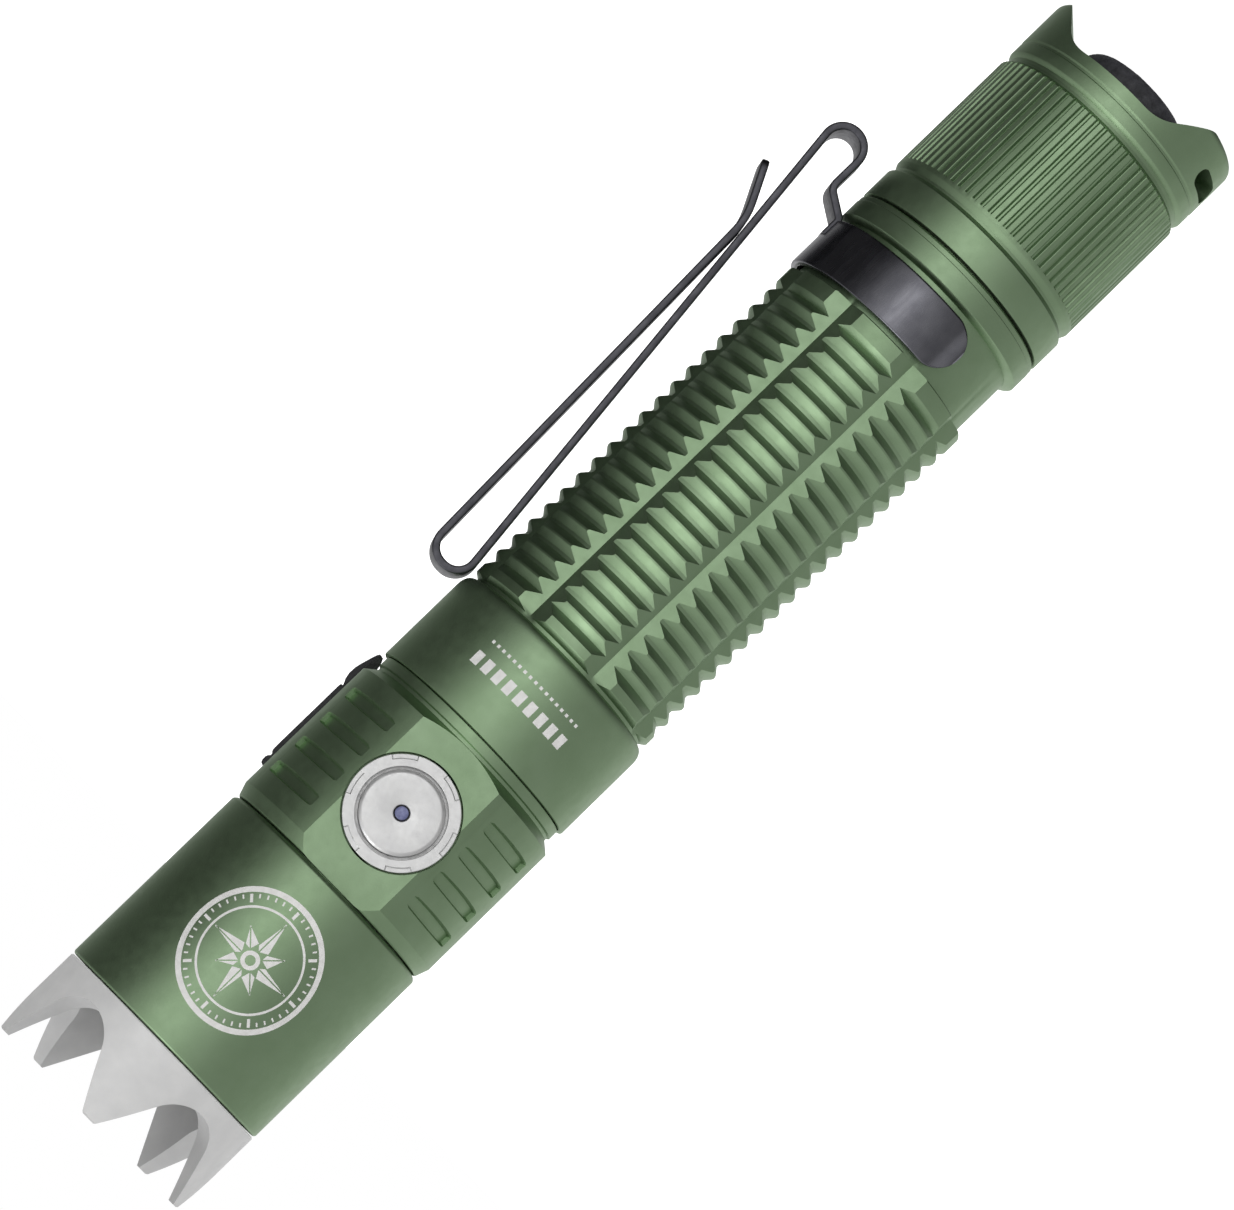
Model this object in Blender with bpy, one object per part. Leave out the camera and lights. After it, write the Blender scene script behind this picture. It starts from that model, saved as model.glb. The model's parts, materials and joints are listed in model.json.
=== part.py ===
"""Tactical flashlight with a strike bezel, side switch, charging port, pocket clip and tail switch.

Run with: blender --background --python part.py

Metres, +Z up. The flashlight stands on the two horns of its tail cap: the origin is on its axis at
the horns' tips, and the beam leaves along +Z. The side button faces -Y and the clip is on +X.
Angles round the body count from -Y towards +X.
"""

from math import cos, pi, radians, sin, sqrt, tan

import bmesh
import bpy
from mathutils import Matrix, Vector

MM = 0.001
GAP = 0.3 * MM
SEGMENTS = 40
SMALL_SEGMENTS = 20

# Heights of the joints that show outside, from the horns' tips.
TIP_Z = 154.4 * MM
BEZEL_Z = 143.95 * MM
HEAD_Z = 120.75 * MM
NECK_Z = 99.56 * MM
COLLAR_END_Z = 87.6 * MM
TUBE_END_Z = 23.0 * MM
CAP_FRONT_Z = 29.57 * MM

# Outside radii.
BEZEL_R = 13.25 * MM
HEAD_R = 13.29 * MM
HOUSING_R = 13.52 * MM
NECK_R = 12.57 * MM
COLLAR_R = 13.05 * MM
RIDGE_R = 12.6 * MM
VALLEY_R = 11.95 * MM
SEAT_R = 11.75 * MM
LIP_R = 12.78 * MM
LIP_BORE_R = 12.4 * MM
LIP_END_Z = 29.9 * MM
CAP_R = 12.75 * MM
KNURL_R = 12.6 * MM

# Strike bezel: five teeth between round-bottomed V cuts.
TOOTH_COUNT = 5
SCALLOP_R = 4.66 * MM
SCALLOP_DEPTH = 8.3 * MM
SCALLOP_FLANK = radians(27)
BEZEL_BORE_R = 10.6 * MM
BEZEL_SKIRT_R = 11.55 * MM

# Optics.
HEAD_BORE_R = 11.85 * MM
LENS_Z = 138.9 * MM
LENS_THICK = 2.0 * MM
LENS_R = 11.5 * MM
REFLECTOR_DEPTH = 15.5 * MM
REFLECTOR_WALL = 0.8 * MM
REFLECTOR_HOLE_R = 3.0 * MM
SHELF_TOP_Z = 121.6 * MM
SHELF_THICK = 3.0 * MM
BOARD_THICK = 1.4 * MM
EMITTER_SIDE = 3.5 * MM
EMITTER_DOME_R = 1.5 * MM
WIRE_R = 0.45 * MM
WIRE_HOLE_R = 1.2 * MM
WIRE_X = -6.0 * MM
WIRE_Y = 1.6 * MM

# Switch housing.
HOUSING_END_Z = 102.2 * MM
FLAT_DEPTH = 12.36 * MM
CONE_Z = 119.05 * MM
CONE_R = 13.05 * MM
SLOT_COUNT = 4
SLOT_PITCH = 3.57 * MM
SLOT_WIDTH = 1.6 * MM
SLOT_DEPTH = 0.35 * MM
SLOT_ARC = (radians(31), radians(70))
CAVITY_R = 10.3 * MM
THREAD_BORE_R = 11.75 * MM
CELL_BORE_R = 10.95 * MM
LEDGE_Z = 105.6 * MM
LEDGE_THICK = 1.2 * MM

# Side button, in its own frame: +Z outwards from the body's axis.
BUTTON_Z = 110.63 * MM
BUTTON_R = 4.45 * MM
BUTTON_FACE = 12.66 * MM
RING_R = 6.05 * MM
RING_BORE_R = 4.75 * MM
RING_FACE = 12.56 * MM
RING_NOTCHES = 6
COUNTERBORE_FLOOR = 10.8 * MM

# Charging port and its rubber cover.
PORT_ANGLE = radians(110)
PORT_Z = 110.5 * MM
PORT_LENGTH = 8.9 * MM
PORT_HEIGHT = 3.3 * MM
PORT_WALL = 0.3 * MM
PORT_FACE = 12.2 * MM
COVER_HINGE_R = 14.1 * MM
COVER_HINGE_Z = 115.1 * MM
COVER_HALF_ARC = radians(16.5)
COVER_END_Z = 104.75 * MM
COVER_FLOOR = 12.75 * MM

# Ribbed grip.
RIDGE_COUNT = 18
RIDGE_PITCH = 2.316 * MM
FIRST_RIDGE_Z = 44.21 * MM
GROOVE_COUNT = 8
GROOVE_HALF_ARC = radians(9.5)
GROOVE_ANGLE = radians(27)
GROOVE_FLOOR_R = 11.7 * MM

# Pocket clip: one bent strip. Corners are (distance from the axis, height), each with its bend radius.
CLIP_THICK = 0.85 * MM
CLIP_WIDTH = 5.8 * MM
BAND_R = 12.15 * MM
BAND_LOW_Z = 33.87 * MM
BAND_HIGH_Z = 40.5 * MM
BAND_HALF_ARC = radians(118)
LOOP_R = 2.2 * MM
LOOP_CENTRE = Vector((17.85, 0, 28.1)) * MM
BEND_CENTRE = Vector((15.62, 0, 86.6)) * MM
CLIP_CORNERS = (
    (12.6, 36.0, 0),
    (12.6, 33.8, 0.7),
    (15.63, 31.9, 1.3),
    (15.63, 25.85, 2.2),
    (20.35, 25.85, 2.2),
    (13.1, 88.85, 2.1),
    (17.82, 88.85, 2.2),
    (19.45, 40.7, 8.0),
    (22.0, 35.7, 0),
)

# Tail cap: two horns, left by one cut across the rim.
HORN_ANGLE = radians(105)
RIM_CUT_DEPTH = 4.5 * MM
RIM_CUT_HALF = 6.25 * MM
RIM_CUT_TIP_HALF = 10.5 * MM
BOOT_HOLE_R = 7.6 * MM
BOOT_LEDGE_Z = 6.0 * MM
TAIL_CAVITY_R = 9.3 * MM
TAIL_CAVITY_Z = 18.8 * MM
TAIL_BORE_R = 11.7 * MM
LANYARD_ANGLE = radians(-67)
LANYARD_SIZE = (6.4 * MM, 2.2 * MM)
LANYARD_Z = 3.9 * MM

# Tail switch.
BOOT_FACE_Z = 0.6 * MM
BOOT_R = 7.0 * MM
BOOT_FLANGE_R = 9.0 * MM
TAIL_STEM_R = 3.1 * MM

# Battery.
CELL_R = 10.6 * MM
CELL_LOW_Z = 26.4 * MM
CELL_LENGTH = 75.0 * MM
NUB_HEIGHT = 0.9 * MM
NUB_R = 4.0 * MM

# Colour, metallic and roughness of each finish.
FINISHES = {
    "green_anodised": ((0.16, 0.24, 0.15), 0.7, 0.42),
    "black_steel": ((0.03, 0.03, 0.033), 0.9, 0.35),
    "stainless": ((0.6, 0.6, 0.6), 1.0, 0.25),
    "blasted_steel": ((0.55, 0.55, 0.55), 1.0, 0.5),
    "black_rubber": ((0.012, 0.012, 0.013), 0.0, 0.8),
    "mirror": ((0.9, 0.9, 0.9), 1.0, 0.05),
    "clear_glass": ((0.9, 0.95, 0.95), 0.0, 0.02),
    "indicator_blue": ((0.25, 0.35, 0.42), 0.0, 0.3),
    "board_green": ((0.02, 0.18, 0.06), 0.0, 0.5),
    "board_copper": ((0.7, 0.35, 0.2), 1.0, 0.35),
    "emitter_yellow": ((0.8, 0.7, 0.15), 0.0, 0.4),
    "brass": ((0.75, 0.55, 0.25), 1.0, 0.3),
    "spring_gold": ((0.8, 0.6, 0.3), 1.0, 0.25),
    "white_plastic": ((0.8, 0.8, 0.78), 0.0, 0.5),
    "black_plastic": ((0.03, 0.03, 0.03), 0.0, 0.5),
    "wire_red": ((0.5, 0.02, 0.02), 0.0, 0.5),
    "wire_black": ((0.02, 0.02, 0.02), 0.0, 0.5),
    "cell_wrap": ((0.05, 0.09, 0.2), 0.0, 0.4),
}


def clear_scene():
    for obj in list(bpy.data.objects):
        bpy.data.objects.remove(obj, do_unlink=True)


def finish(name):
    """The Principled material of that name, made the first time it is asked for."""
    found = bpy.data.materials.get(name)
    if found:
        return found
    colour, metallic, roughness = FINISHES[name]
    made = bpy.data.materials.new(name)
    made.use_nodes = True
    shader = made.node_tree.nodes["Principled BSDF"]
    shader.inputs["Base Color"].default_value = (*colour, 1)
    shader.inputs["Metallic"].default_value = metallic
    shader.inputs["Roughness"].default_value = roughness
    return made


def link(obj, finish_name):
    bpy.context.scene.collection.objects.link(obj)
    if finish_name:
        obj.data.materials.append(finish(finish_name))
    return obj


def add_mesh(name, bm, finish_name=None, frame=None):
    """Turns the bmesh into an object. Its points are in the given frame, or in the world's."""
    bmesh.ops.remove_doubles(bm, verts=bm.verts, dist=1e-6)
    bmesh.ops.recalc_face_normals(bm, faces=bm.faces)
    mesh = bpy.data.meshes.new(name)
    bm.to_mesh(mesh)
    bm.free()
    mesh.shade_smooth()
    mesh.set_sharp_from_angle(angle=radians(30))
    obj = link(bpy.data.objects.new(name, mesh), finish_name)
    if frame:
        obj.matrix_world = frame
    return obj


def add_rings(bm, rings, closed=False):
    """Skins a row of rings that have equal counts of points. The ends are capped unless it closes on itself."""
    loops = [[bm.verts.new(point) for point in ring] for ring in rings]
    pairs = list(zip(loops, loops[1:]))
    if closed:
        pairs.append((loops[-1], loops[0]))
    for low, high in pairs:
        for index, corner in enumerate(low):
            following = (index + 1) % len(low)
            bm.faces.new((corner, low[following], high[following], high[index]))
    if not closed:
        bm.faces.new(loops[0])
        bm.faces.new(loops[-1])


def turned(name, outline, finish_name=None, segments=SEGMENTS, frame=None):
    """Solid of revolution about Z, from (radius, height) points that run down its outer side."""
    bm = bmesh.new()
    points = [bm.verts.new((radius, 0, height)) for radius, height in outline]
    pairs = list(zip(points, points[1:]))
    on_axis = outline[0][0] == 0 and outline[-1][0] == 0
    if not on_axis:
        pairs.append((points[-1], points[0]))
    edges = [bm.edges.new(pair) for pair in pairs]
    bmesh.ops.spin(
        bm,
        geom=points + edges,
        cent=(0, 0, 0),
        axis=(0, 0, 1),
        angle=2 * pi,
        steps=segments,
        use_merge=True,
    )
    return add_mesh(name, bm, finish_name, frame)


def disc(name, radius, low, high, finish_name=None, segments=SMALL_SEGMENTS, frame=None):
    outline = [(0, high), (radius, high), (radius, low), (0, low)]
    return turned(name, outline, finish_name, segments, frame)


def washer(name, inner, outer, low, high, finish_name, segments=SMALL_SEGMENTS):
    outline = [(inner, high), (outer, high), (outer, low), (inner, low)]
    return turned(name, outline, finish_name, segments)


def o_ring(name, radius, height, thickness):
    """Rubber ring of six-sided section."""
    section = [radians(60 * step) for step in range(6)]
    outline = [
        (radius + thickness / 2 * cos(turn), height - thickness / 2 * sin(turn)) for turn in section
    ]
    return turned(name, outline, "black_rubber", 28)


def outward(angle):
    """Unit vector that points away from the axis at that angle."""
    return Vector((sin(angle), -cos(angle), 0))


def facing(angle, distance=0, height=0):
    """Frame whose +Z points outwards at that angle and whose +Y points up."""
    up = Vector((0, 0, 1))
    out = outward(angle)
    axes = Matrix((up.cross(out), up, out)).transposed().to_4x4()
    return Matrix.Translation(out * distance + up * height) @ axes


def add_prism(bm, outline, low, high):
    """Extrudes a flat (x, y) outline from one height to the other."""
    add_rings(bm, [[(x, y, height) for x, y in outline] for height in (low, high)])


def prism(name, outline, low, high, finish_name=None, frame=None):
    bm = bmesh.new()
    add_prism(bm, outline, low, high)
    return add_mesh(name, bm, finish_name, frame)


def rectangle(width, height, x=0, y=0):
    return [
        (x + side * width / 2, y + end * height / 2)
        for side, end in ((-1, -1), (1, -1), (1, 1), (-1, 1))
    ]


def circle(radius, steps, x=0, y=0):
    turns = [2 * pi * step / steps for step in range(steps)]
    return [(x + radius * cos(turn), y + radius * sin(turn)) for turn in turns]


def stadium(length, height, steps=6):
    """Round-ended slot outline, long in Y."""
    radius = height / 2
    middle = length / 2 - radius
    upper = [pi * step / steps for step in range(steps + 1)]
    top = [(radius * cos(turn), middle + radius * sin(turn)) for turn in upper]
    return top + [(-x, -y) for x, y in top]


def arc_section(inner, outer, half_arc, height, angle, steps):
    """Closed ring of points round a curved bar's section at one height."""
    turns = [angle + half_arc * (2 * step / steps - 1) for step in range(steps + 1)]
    up = Vector((0, 0, height))
    near = [outward(turn) * inner + up for turn in turns]
    far = [outward(turn) * outer + up for turn in turns]
    return near + far[::-1]


def add_curved_bar(bm, inner, outer, half_arc, low, high, angle, steps=8):
    """Bar that follows the body's roundness between two heights."""
    add_rings(
        bm,
        [arc_section(inner, outer, half_arc, height, angle, steps) for height in (low, high)],
    )


def helper(obj):
    """Marks a cutter or a union's second shape, which isn't a piece of the flashlight."""
    obj.hide_render = True
    obj.display_type = "WIRE"
    return obj


def combine(obj, tool, operation="DIFFERENCE", overlapping=False):
    """Adds a Boolean. The tool may hold several closed shapes; overlapping says that they run into each other."""
    helper(tool)
    modifier = obj.modifiers.new(tool.name, "BOOLEAN")
    modifier.object = tool
    modifier.operation = operation
    modifier.solver = "EXACT"
    modifier.use_self = overlapping
    return obj


def move_origin(obj, point):
    """Puts a piece's origin on its joint without moving the piece."""
    obj.data.transform(Matrix.Translation(-point))
    obj.location = point
    return obj


def hang_on(obj, parent_name, point):
    """Parents a piece to an empty on its joint's axis."""
    pivot = bpy.data.objects.new(parent_name, None)
    pivot.location = point
    bpy.context.scene.collection.objects.link(pivot)
    bpy.context.view_layer.update()
    obj.parent = pivot
    obj.matrix_parent_inverse = Matrix.Translation(-point)
    return obj


def spring(name, radii, low, high, turns, wire_r, finish_name="spring_gold"):
    """Helical spring whose radius goes evenly from the first to the second of radii."""
    steps_per_turn = 10
    count = int(turns * steps_per_turn) + 1
    curve = bpy.data.curves.new(name, "CURVE")
    curve.dimensions = "3D"
    curve.bevel_depth = wire_r
    curve.bevel_resolution = 1
    curve.use_fill_caps = True
    line = curve.splines.new("POLY")
    line.points.add(count - 1)
    for index, point in enumerate(line.points):
        share = index / (count - 1)
        radius = radii[0] + (radii[1] - radii[0]) * share
        turn = 2 * pi * index / steps_per_turn
        height = low + wire_r + (high - low - 2 * wire_r) * share
        point.co = (radius * cos(turn), radius * sin(turn), height, 1)
    return link(bpy.data.objects.new(name, curve), finish_name)


def wire(name, route, finish_name):
    curve = bpy.data.curves.new(name, "CURVE")
    curve.dimensions = "3D"
    curve.bevel_depth = WIRE_R
    curve.bevel_resolution = 1
    curve.use_fill_caps = True
    line = curve.splines.new("POLY")
    line.points.add(len(route) - 1)
    for point, place in zip(line.points, route):
        point.co = (*place, 1)
    return link(bpy.data.objects.new(name, curve), finish_name)


def strike_bezel():
    skirt_z = BEZEL_Z - 1.65 * MM
    edge = 0.3 * MM
    outline = [
        (BEZEL_R - edge, TIP_Z),
        (BEZEL_R, TIP_Z - edge),
        (BEZEL_R, BEZEL_Z + edge),
        (BEZEL_R - edge, BEZEL_Z),
        (BEZEL_SKIRT_R, BEZEL_Z),
        (BEZEL_SKIRT_R, skirt_z),
        (BEZEL_BORE_R, skirt_z),
        (BEZEL_BORE_R, TIP_Z - 7.4 * MM),
        (BEZEL_R - 0.95 * MM, TIP_Z),
    ]
    bezel = turned("strike_bezel", outline, "blasted_steel")
    centre_y = SCALLOP_R - SCALLOP_DEPTH
    arc = [-SCALLOP_FLANK - (pi - 2 * SCALLOP_FLANK) * step / 8 for step in range(9)]
    bottom = [(SCALLOP_R * cos(turn), centre_y + SCALLOP_R * sin(turn)) for turn in arc]
    above = 1.0 * MM
    edge_x, edge_y = bottom[0]
    top_x = edge_x + (above - edge_y) * tan(SCALLOP_FLANK)
    scallop = [(top_x, above)] + bottom + [(-top_x, above)]
    bm = bmesh.new()
    for index in range(TOOTH_COUNT):
        angle = 2 * pi * (index + 0.5) / TOOTH_COUNT
        frame = facing(angle, 0, TIP_Z)
        rings = [
            [frame @ Vector((x, y, depth)) for x, y in scallop] for depth in (7 * MM, 16 * MM)
        ]
        add_rings(bm, rings)
    return combine(bezel, add_mesh("bezel_scallops", bm))


def reflector():
    top = LENS_Z - GAP
    focal = (BEZEL_BORE_R**2) / (4 * REFLECTOR_DEPTH)
    vertex_z = top - REFLECTOR_DEPTH
    bottom = vertex_z + REFLECTOR_HOLE_R**2 / (4 * focal)
    steps = 6
    levels = [bottom + (top - bottom) * (step / steps) ** 1.6 for step in range(steps + 1)]
    inner = [(sqrt(4 * focal * (level - vertex_z)), level) for level in levels]
    flange_z = top - 0.8 * MM
    outer = [(radius + REFLECTOR_WALL, level) for radius, level in inner if level < flange_z]
    rim_r = sqrt(4 * focal * (flange_z - vertex_z)) + REFLECTOR_WALL
    outline = [(LENS_R, top), (LENS_R, flange_z), (rim_r, flange_z)] + outer[::-1] + inner
    return turned("reflector", outline, "mirror", 28)


def optics():
    lens_top = LENS_Z + LENS_THICK
    edge = 0.25 * MM
    turned(
        "lens",
        [
            (0, lens_top),
            (LENS_R - edge, lens_top),
            (LENS_R, lens_top - edge),
            (LENS_R, LENS_Z + edge),
            (LENS_R - edge, LENS_Z),
            (0, LENS_Z),
        ],
        "clear_glass",
        32,
    )
    gasket_z = lens_top + GAP
    washer(
        "bezel_gasket", BEZEL_BORE_R + 0.1 * MM, BEZEL_SKIRT_R, gasket_z, gasket_z + 0.8 * MM,
        "black_rubber", 32,
    )
    reflector()
    board_z = SHELF_TOP_Z + GAP
    chip_z = board_z + BOARD_THICK + GAP
    disc("led_board", 9.6 * MM, board_z, board_z + BOARD_THICK, "board_copper", 32)
    washer("led_gasket", 2.9 * MM, 5.2 * MM, chip_z, chip_z + 0.4 * MM, "white_plastic")
    chip_top = chip_z + 0.6 * MM
    chip = prism("led_emitter", rectangle(EMITTER_SIDE, EMITTER_SIDE), chip_z, chip_top, "emitter_yellow")
    dome = [
        (EMITTER_DOME_R * cos(turn), chip_top + EMITTER_DOME_R * sin(turn))
        for turn in (pi / 2, pi / 3, pi / 6, 0)
    ]
    dome[0] = (0, dome[0][1])
    sunk = chip_top - 0.2 * MM
    bulb = turned("emitter_dome", dome + [(EMITTER_DOME_R, sunk), (0, sunk)], None, 16)
    combine(chip, bulb, "UNION")


def head_shell():
    skirt_r = THREAD_BORE_R - GAP
    groove_r = skirt_r - 0.8 * MM
    edge = 0.25 * MM
    shelf_low = SHELF_TOP_Z - SHELF_THICK
    top = BEZEL_Z - GAP
    outline = [
        (0, SHELF_TOP_Z),
        (HEAD_BORE_R, SHELF_TOP_Z),
        (HEAD_BORE_R, top),
        (HEAD_R - edge, top),
        (HEAD_R, top - edge),
        (HEAD_R, HEAD_Z + edge),
        (HEAD_R - edge, HEAD_Z),
        (skirt_r, HEAD_Z),
        (skirt_r, 118.9 * MM),
        (groove_r, 118.9 * MM),
        (groove_r, 117.7 * MM),
        (skirt_r, 117.7 * MM),
        (skirt_r, 116.9 * MM),
        (skirt_r - 1.8 * MM, 116.9 * MM),
        (skirt_r - 1.8 * MM, shelf_low),
        (0, shelf_low),
    ]
    shell = turned("head_shell", outline, "green_anodised")
    bm = bmesh.new()
    for side in (-1, 1):
        hole = circle(WIRE_HOLE_R, 12, WIRE_X, side * WIRE_Y)
        add_prism(bm, hole, shelf_low - MM, SHELF_TOP_Z + MM)
    combine(shell, add_mesh("wire_holes", bm))
    o_ring("head_o_ring", 11.15 * MM, 118.3 * MM, 0.8 * MM)


def led_wires():
    low = LEDGE_Z
    high = SHELF_TOP_Z - 0.2 * MM
    for name, side, colour in (
        ("led_wire_positive", -1, "wire_red"),
        ("led_wire_negative", 1, "wire_black"),
    ):
        start = side * 3.4 * MM
        end = side * WIRE_Y
        bend = [0, 0, 0.15, 0.5, 0.85, 1, 1]
        levels = [low + (high - low) * share for share in (0, 0.15, 0.3, 0.45, 0.6, 0.75, 1)]
        route = [(WIRE_X, start + (end - start) * turn, level) for turn, level in zip(bend, levels)]
        wire(name, route, colour)


def housing_cutters():
    """The flat, the button's stepped bore, the port's hole and the hole for the cover's stem."""
    low, high = HOUSING_END_Z - 0.95 * MM, HEAD_Z + MM
    flat = facing(0, 0, (low + high) / 2)
    button = facing(0, 0, BUTTON_Z)
    port = facing(PORT_ANGLE, 0, PORT_Z)
    stem = facing(PORT_ANGLE, 0, COVER_HINGE_Z + 0.75 * MM)
    beyond = 15 * MM
    # Each row: frame, outline, start and end of the cut from the body's axis.
    cuts = (
        (flat, rectangle(16 * MM, high - low), FLAT_DEPTH, beyond),
        (button, circle(RING_R + 0.2 * MM, 28), COUNTERBORE_FLOOR, beyond + MM),
        (button, circle(BUTTON_R + 0.45 * MM, 28), 8 * MM, 11.5 * MM),
        (port, stadium(PORT_LENGTH + 0.5 * MM, PORT_HEIGHT + 0.5 * MM), 8 * MM, 13 * MM),
        (stem, circle(1.1 * MM, 12), 9 * MM, 13.2 * MM),
    )
    bm = bmesh.new()
    for frame, outline, start, end in cuts:
        rings = [[frame @ Vector((x, y, depth)) for x, y in outline] for depth in (start, end)]
        add_rings(bm, rings)
    return add_mesh("housing_holes", bm)


def housing_recesses():
    """The cooling slots beside the flat and the recess that the port's cover lies in."""
    bm = bmesh.new()
    middle = (SLOT_ARC[0] + SLOT_ARC[1]) / 2
    half = (SLOT_ARC[1] - SLOT_ARC[0]) / 2
    for side in (-1, 1):
        for index in range(SLOT_COUNT):
            level = BUTTON_Z + SLOT_PITCH * (index - (SLOT_COUNT - 1) / 2)
            add_curved_bar(
                bm,
                HOUSING_R - SLOT_DEPTH,
                HOUSING_R + MM,
                half,
                level - SLOT_WIDTH / 2,
                level + SLOT_WIDTH / 2,
                side * middle,
            )
    add_curved_bar(
        bm,
        COVER_FLOOR - GAP,
        HOUSING_R + MM,
        COVER_HALF_ARC + radians(2),
        COVER_END_Z - GAP,
        COVER_HINGE_Z + 1.7 * MM,
        PORT_ANGLE,
    )
    return add_mesh("housing_recesses", bm)


def switch_housing():
    top = HEAD_Z - GAP
    bevel_z = HOUSING_END_Z - 1.0 * MM
    edge = 0.25 * MM
    stub_r = 11.5 * MM
    stub_z = 92.0 * MM
    outline = [
        (THREAD_BORE_R, top),
        (CONE_R - edge, top),
        (CONE_R, top - edge),
        (HOUSING_R, CONE_Z),
        (HOUSING_R, HOUSING_END_Z),
        (NECK_R, bevel_z),
        (NECK_R, NECK_Z),
        (stub_r, NECK_Z),
        (stub_r, stub_z),
        (CELL_BORE_R, stub_z),
        (CELL_BORE_R, LEDGE_Z),
        (9.4 * MM, LEDGE_Z),
        (9.4 * MM, LEDGE_Z + LEDGE_THICK),
        (CAVITY_R, LEDGE_Z + LEDGE_THICK),
        (CAVITY_R, 116.6 * MM),
        (THREAD_BORE_R, 116.6 * MM),
    ]
    housing = turned("switch_housing", outline, "green_anodised")
    combine(housing, housing_cutters(), overlapping=True)
    combine(housing, housing_recesses())


def side_button():
    frame = facing(0, 0, BUTTON_Z)
    ring = turned(
        "side_button_ring",
        [
            (RING_BORE_R, RING_FACE),
            (RING_R - 0.2 * MM, RING_FACE),
            (RING_R, RING_FACE - 0.2 * MM),
            (RING_R, 11.8 * MM),
            (RING_BORE_R, 11.8 * MM),
        ],
        "stainless",
        28,
        frame,
    )
    bm = bmesh.new()
    for index in range(RING_NOTCHES):
        turn = Matrix.Rotation(2 * pi * index / RING_NOTCHES, 4, "Z")
        notch = rectangle(2.4 * MM, 1.2 * MM, 0, RING_R)
        rings = [
            [turn @ Vector((x, y, level)) for x, y in notch]
            for level in (RING_FACE - 0.3 * MM, RING_FACE + MM)
        ]
        add_rings(bm, rings)
    combine(ring, add_mesh("spanner_notches", bm, None, frame))
    light_hole = 1.0 * MM
    turned(
        "side_button",
        [
            (light_hole, BUTTON_FACE),
            (BUTTON_R - 0.7 * MM, BUTTON_FACE),
            (BUTTON_R, BUTTON_FACE - 0.4 * MM),
            (BUTTON_R, 11.5 * MM),
            (BUTTON_R + 0.95 * MM, 11.5 * MM),
            (BUTTON_R + 0.95 * MM, 11.25 * MM),
            (BUTTON_R, 11.25 * MM),
            (BUTTON_R, 10.9 * MM),
            (1.8 * MM, 10.9 * MM),
            (1.8 * MM, 9.9 * MM),
            (light_hole, 9.9 * MM),
        ],
        "stainless",
        28,
        frame,
    )
    disc("side_indicator", 0.7 * MM, 10.2 * MM, BUTTON_FACE - 0.05 * MM, "indicator_blue", 16, frame)
    tact = prism("tact_switch", rectangle(4.5 * MM, 4.5 * MM), 7.9 * MM, 8.9 * MM, "black_plastic", frame)
    combine(tact, disc("tact_button", 1.7 * MM, 8.7 * MM, 9.2 * MM, None, 16, frame), "UNION")
    prism("side_switch_board", rectangle(8 * MM, 7 * MM), 6.6 * MM, 7.6 * MM, "board_green", frame)


def charging_port():
    frame = facing(PORT_ANGLE, 0, PORT_Z)
    back = 5.0 * MM
    shell = prism(
        "usb_port", stadium(PORT_LENGTH, PORT_HEIGHT), back, PORT_FACE, "stainless", frame
    )
    inside = stadium(PORT_LENGTH - 2 * PORT_WALL, PORT_HEIGHT - 2 * PORT_WALL)
    combine(shell, prism("port_mouth", inside, back + MM, PORT_FACE + MM, None, frame))
    tongue = prism(
        "port_tongue", rectangle(0.7 * MM, 6.6 * MM), back + 0.5 * MM, PORT_FACE - 1.6 * MM, None, frame
    )
    combine(shell, tongue, "UNION")
    board = rectangle(0.8 * MM, 6.6 * MM, -PORT_HEIGHT / 2 - GAP - 0.4 * MM)
    prism("usb_board", board, 4.0 * MM, 9.4 * MM, "board_green", frame)


def port_cover():
    """The flap, its plug and its pull tab turn on the hinge; the anchored end stays in the housing."""
    hinge = outward(PORT_ANGLE) * COVER_HINGE_R + Vector((0, 0, COVER_HINGE_Z))
    # Each row: height, inner radius, outer radius, half arc.
    rows = (
        (COVER_HINGE_Z - GAP / 2, COVER_FLOOR, COVER_HINGE_R, COVER_HALF_ARC),
        (COVER_END_Z, COVER_FLOOR, COVER_HINGE_R, COVER_HALF_ARC),
        (COVER_END_Z - 0.2 * MM, 13.85 * MM, 14.4 * MM, radians(8)),
        (102.4 * MM, 13.85 * MM, 14.55 * MM, radians(8)),
        (101.0 * MM, 13.6 * MM, 14.2 * MM, radians(7.5)),
        (99.5 * MM, 13.15 * MM, 13.5 * MM, radians(6)),
    )
    bm = bmesh.new()
    add_rings(bm, [arc_section(low, high, arc, z, PORT_ANGLE, 6) for z, low, high, arc in rows])
    cover = add_mesh("usb_cover", bm, "black_rubber")
    frame = facing(PORT_ANGLE, 0, PORT_Z)
    plug_outline = [(x, y + 0.05 * MM) for x, y in stadium(6.9 * MM, 1.9 * MM)]
    plug = prism("cover_plug", plug_outline, PORT_FACE - 0.9 * MM, COVER_FLOOR + 0.4 * MM, None, frame)
    combine(cover, plug, "UNION")
    move_origin(cover, hinge)
    bm = bmesh.new()
    add_curved_bar(
        bm,
        COVER_FLOOR,
        COVER_HINGE_R,
        COVER_HALF_ARC,
        COVER_HINGE_Z + GAP / 2,
        COVER_HINGE_Z + 1.4 * MM,
        PORT_ANGLE,
        6,
    )
    anchor = add_mesh("usb_cover_anchor", bm, "black_rubber")
    frame = facing(PORT_ANGLE, 0, COVER_HINGE_Z + 0.75 * MM)
    stem = disc("anchor_stem", 0.7 * MM, 10.6 * MM, COVER_FLOOR + 0.4 * MM, None, 12, frame)
    combine(anchor, stem, "UNION")


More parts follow.
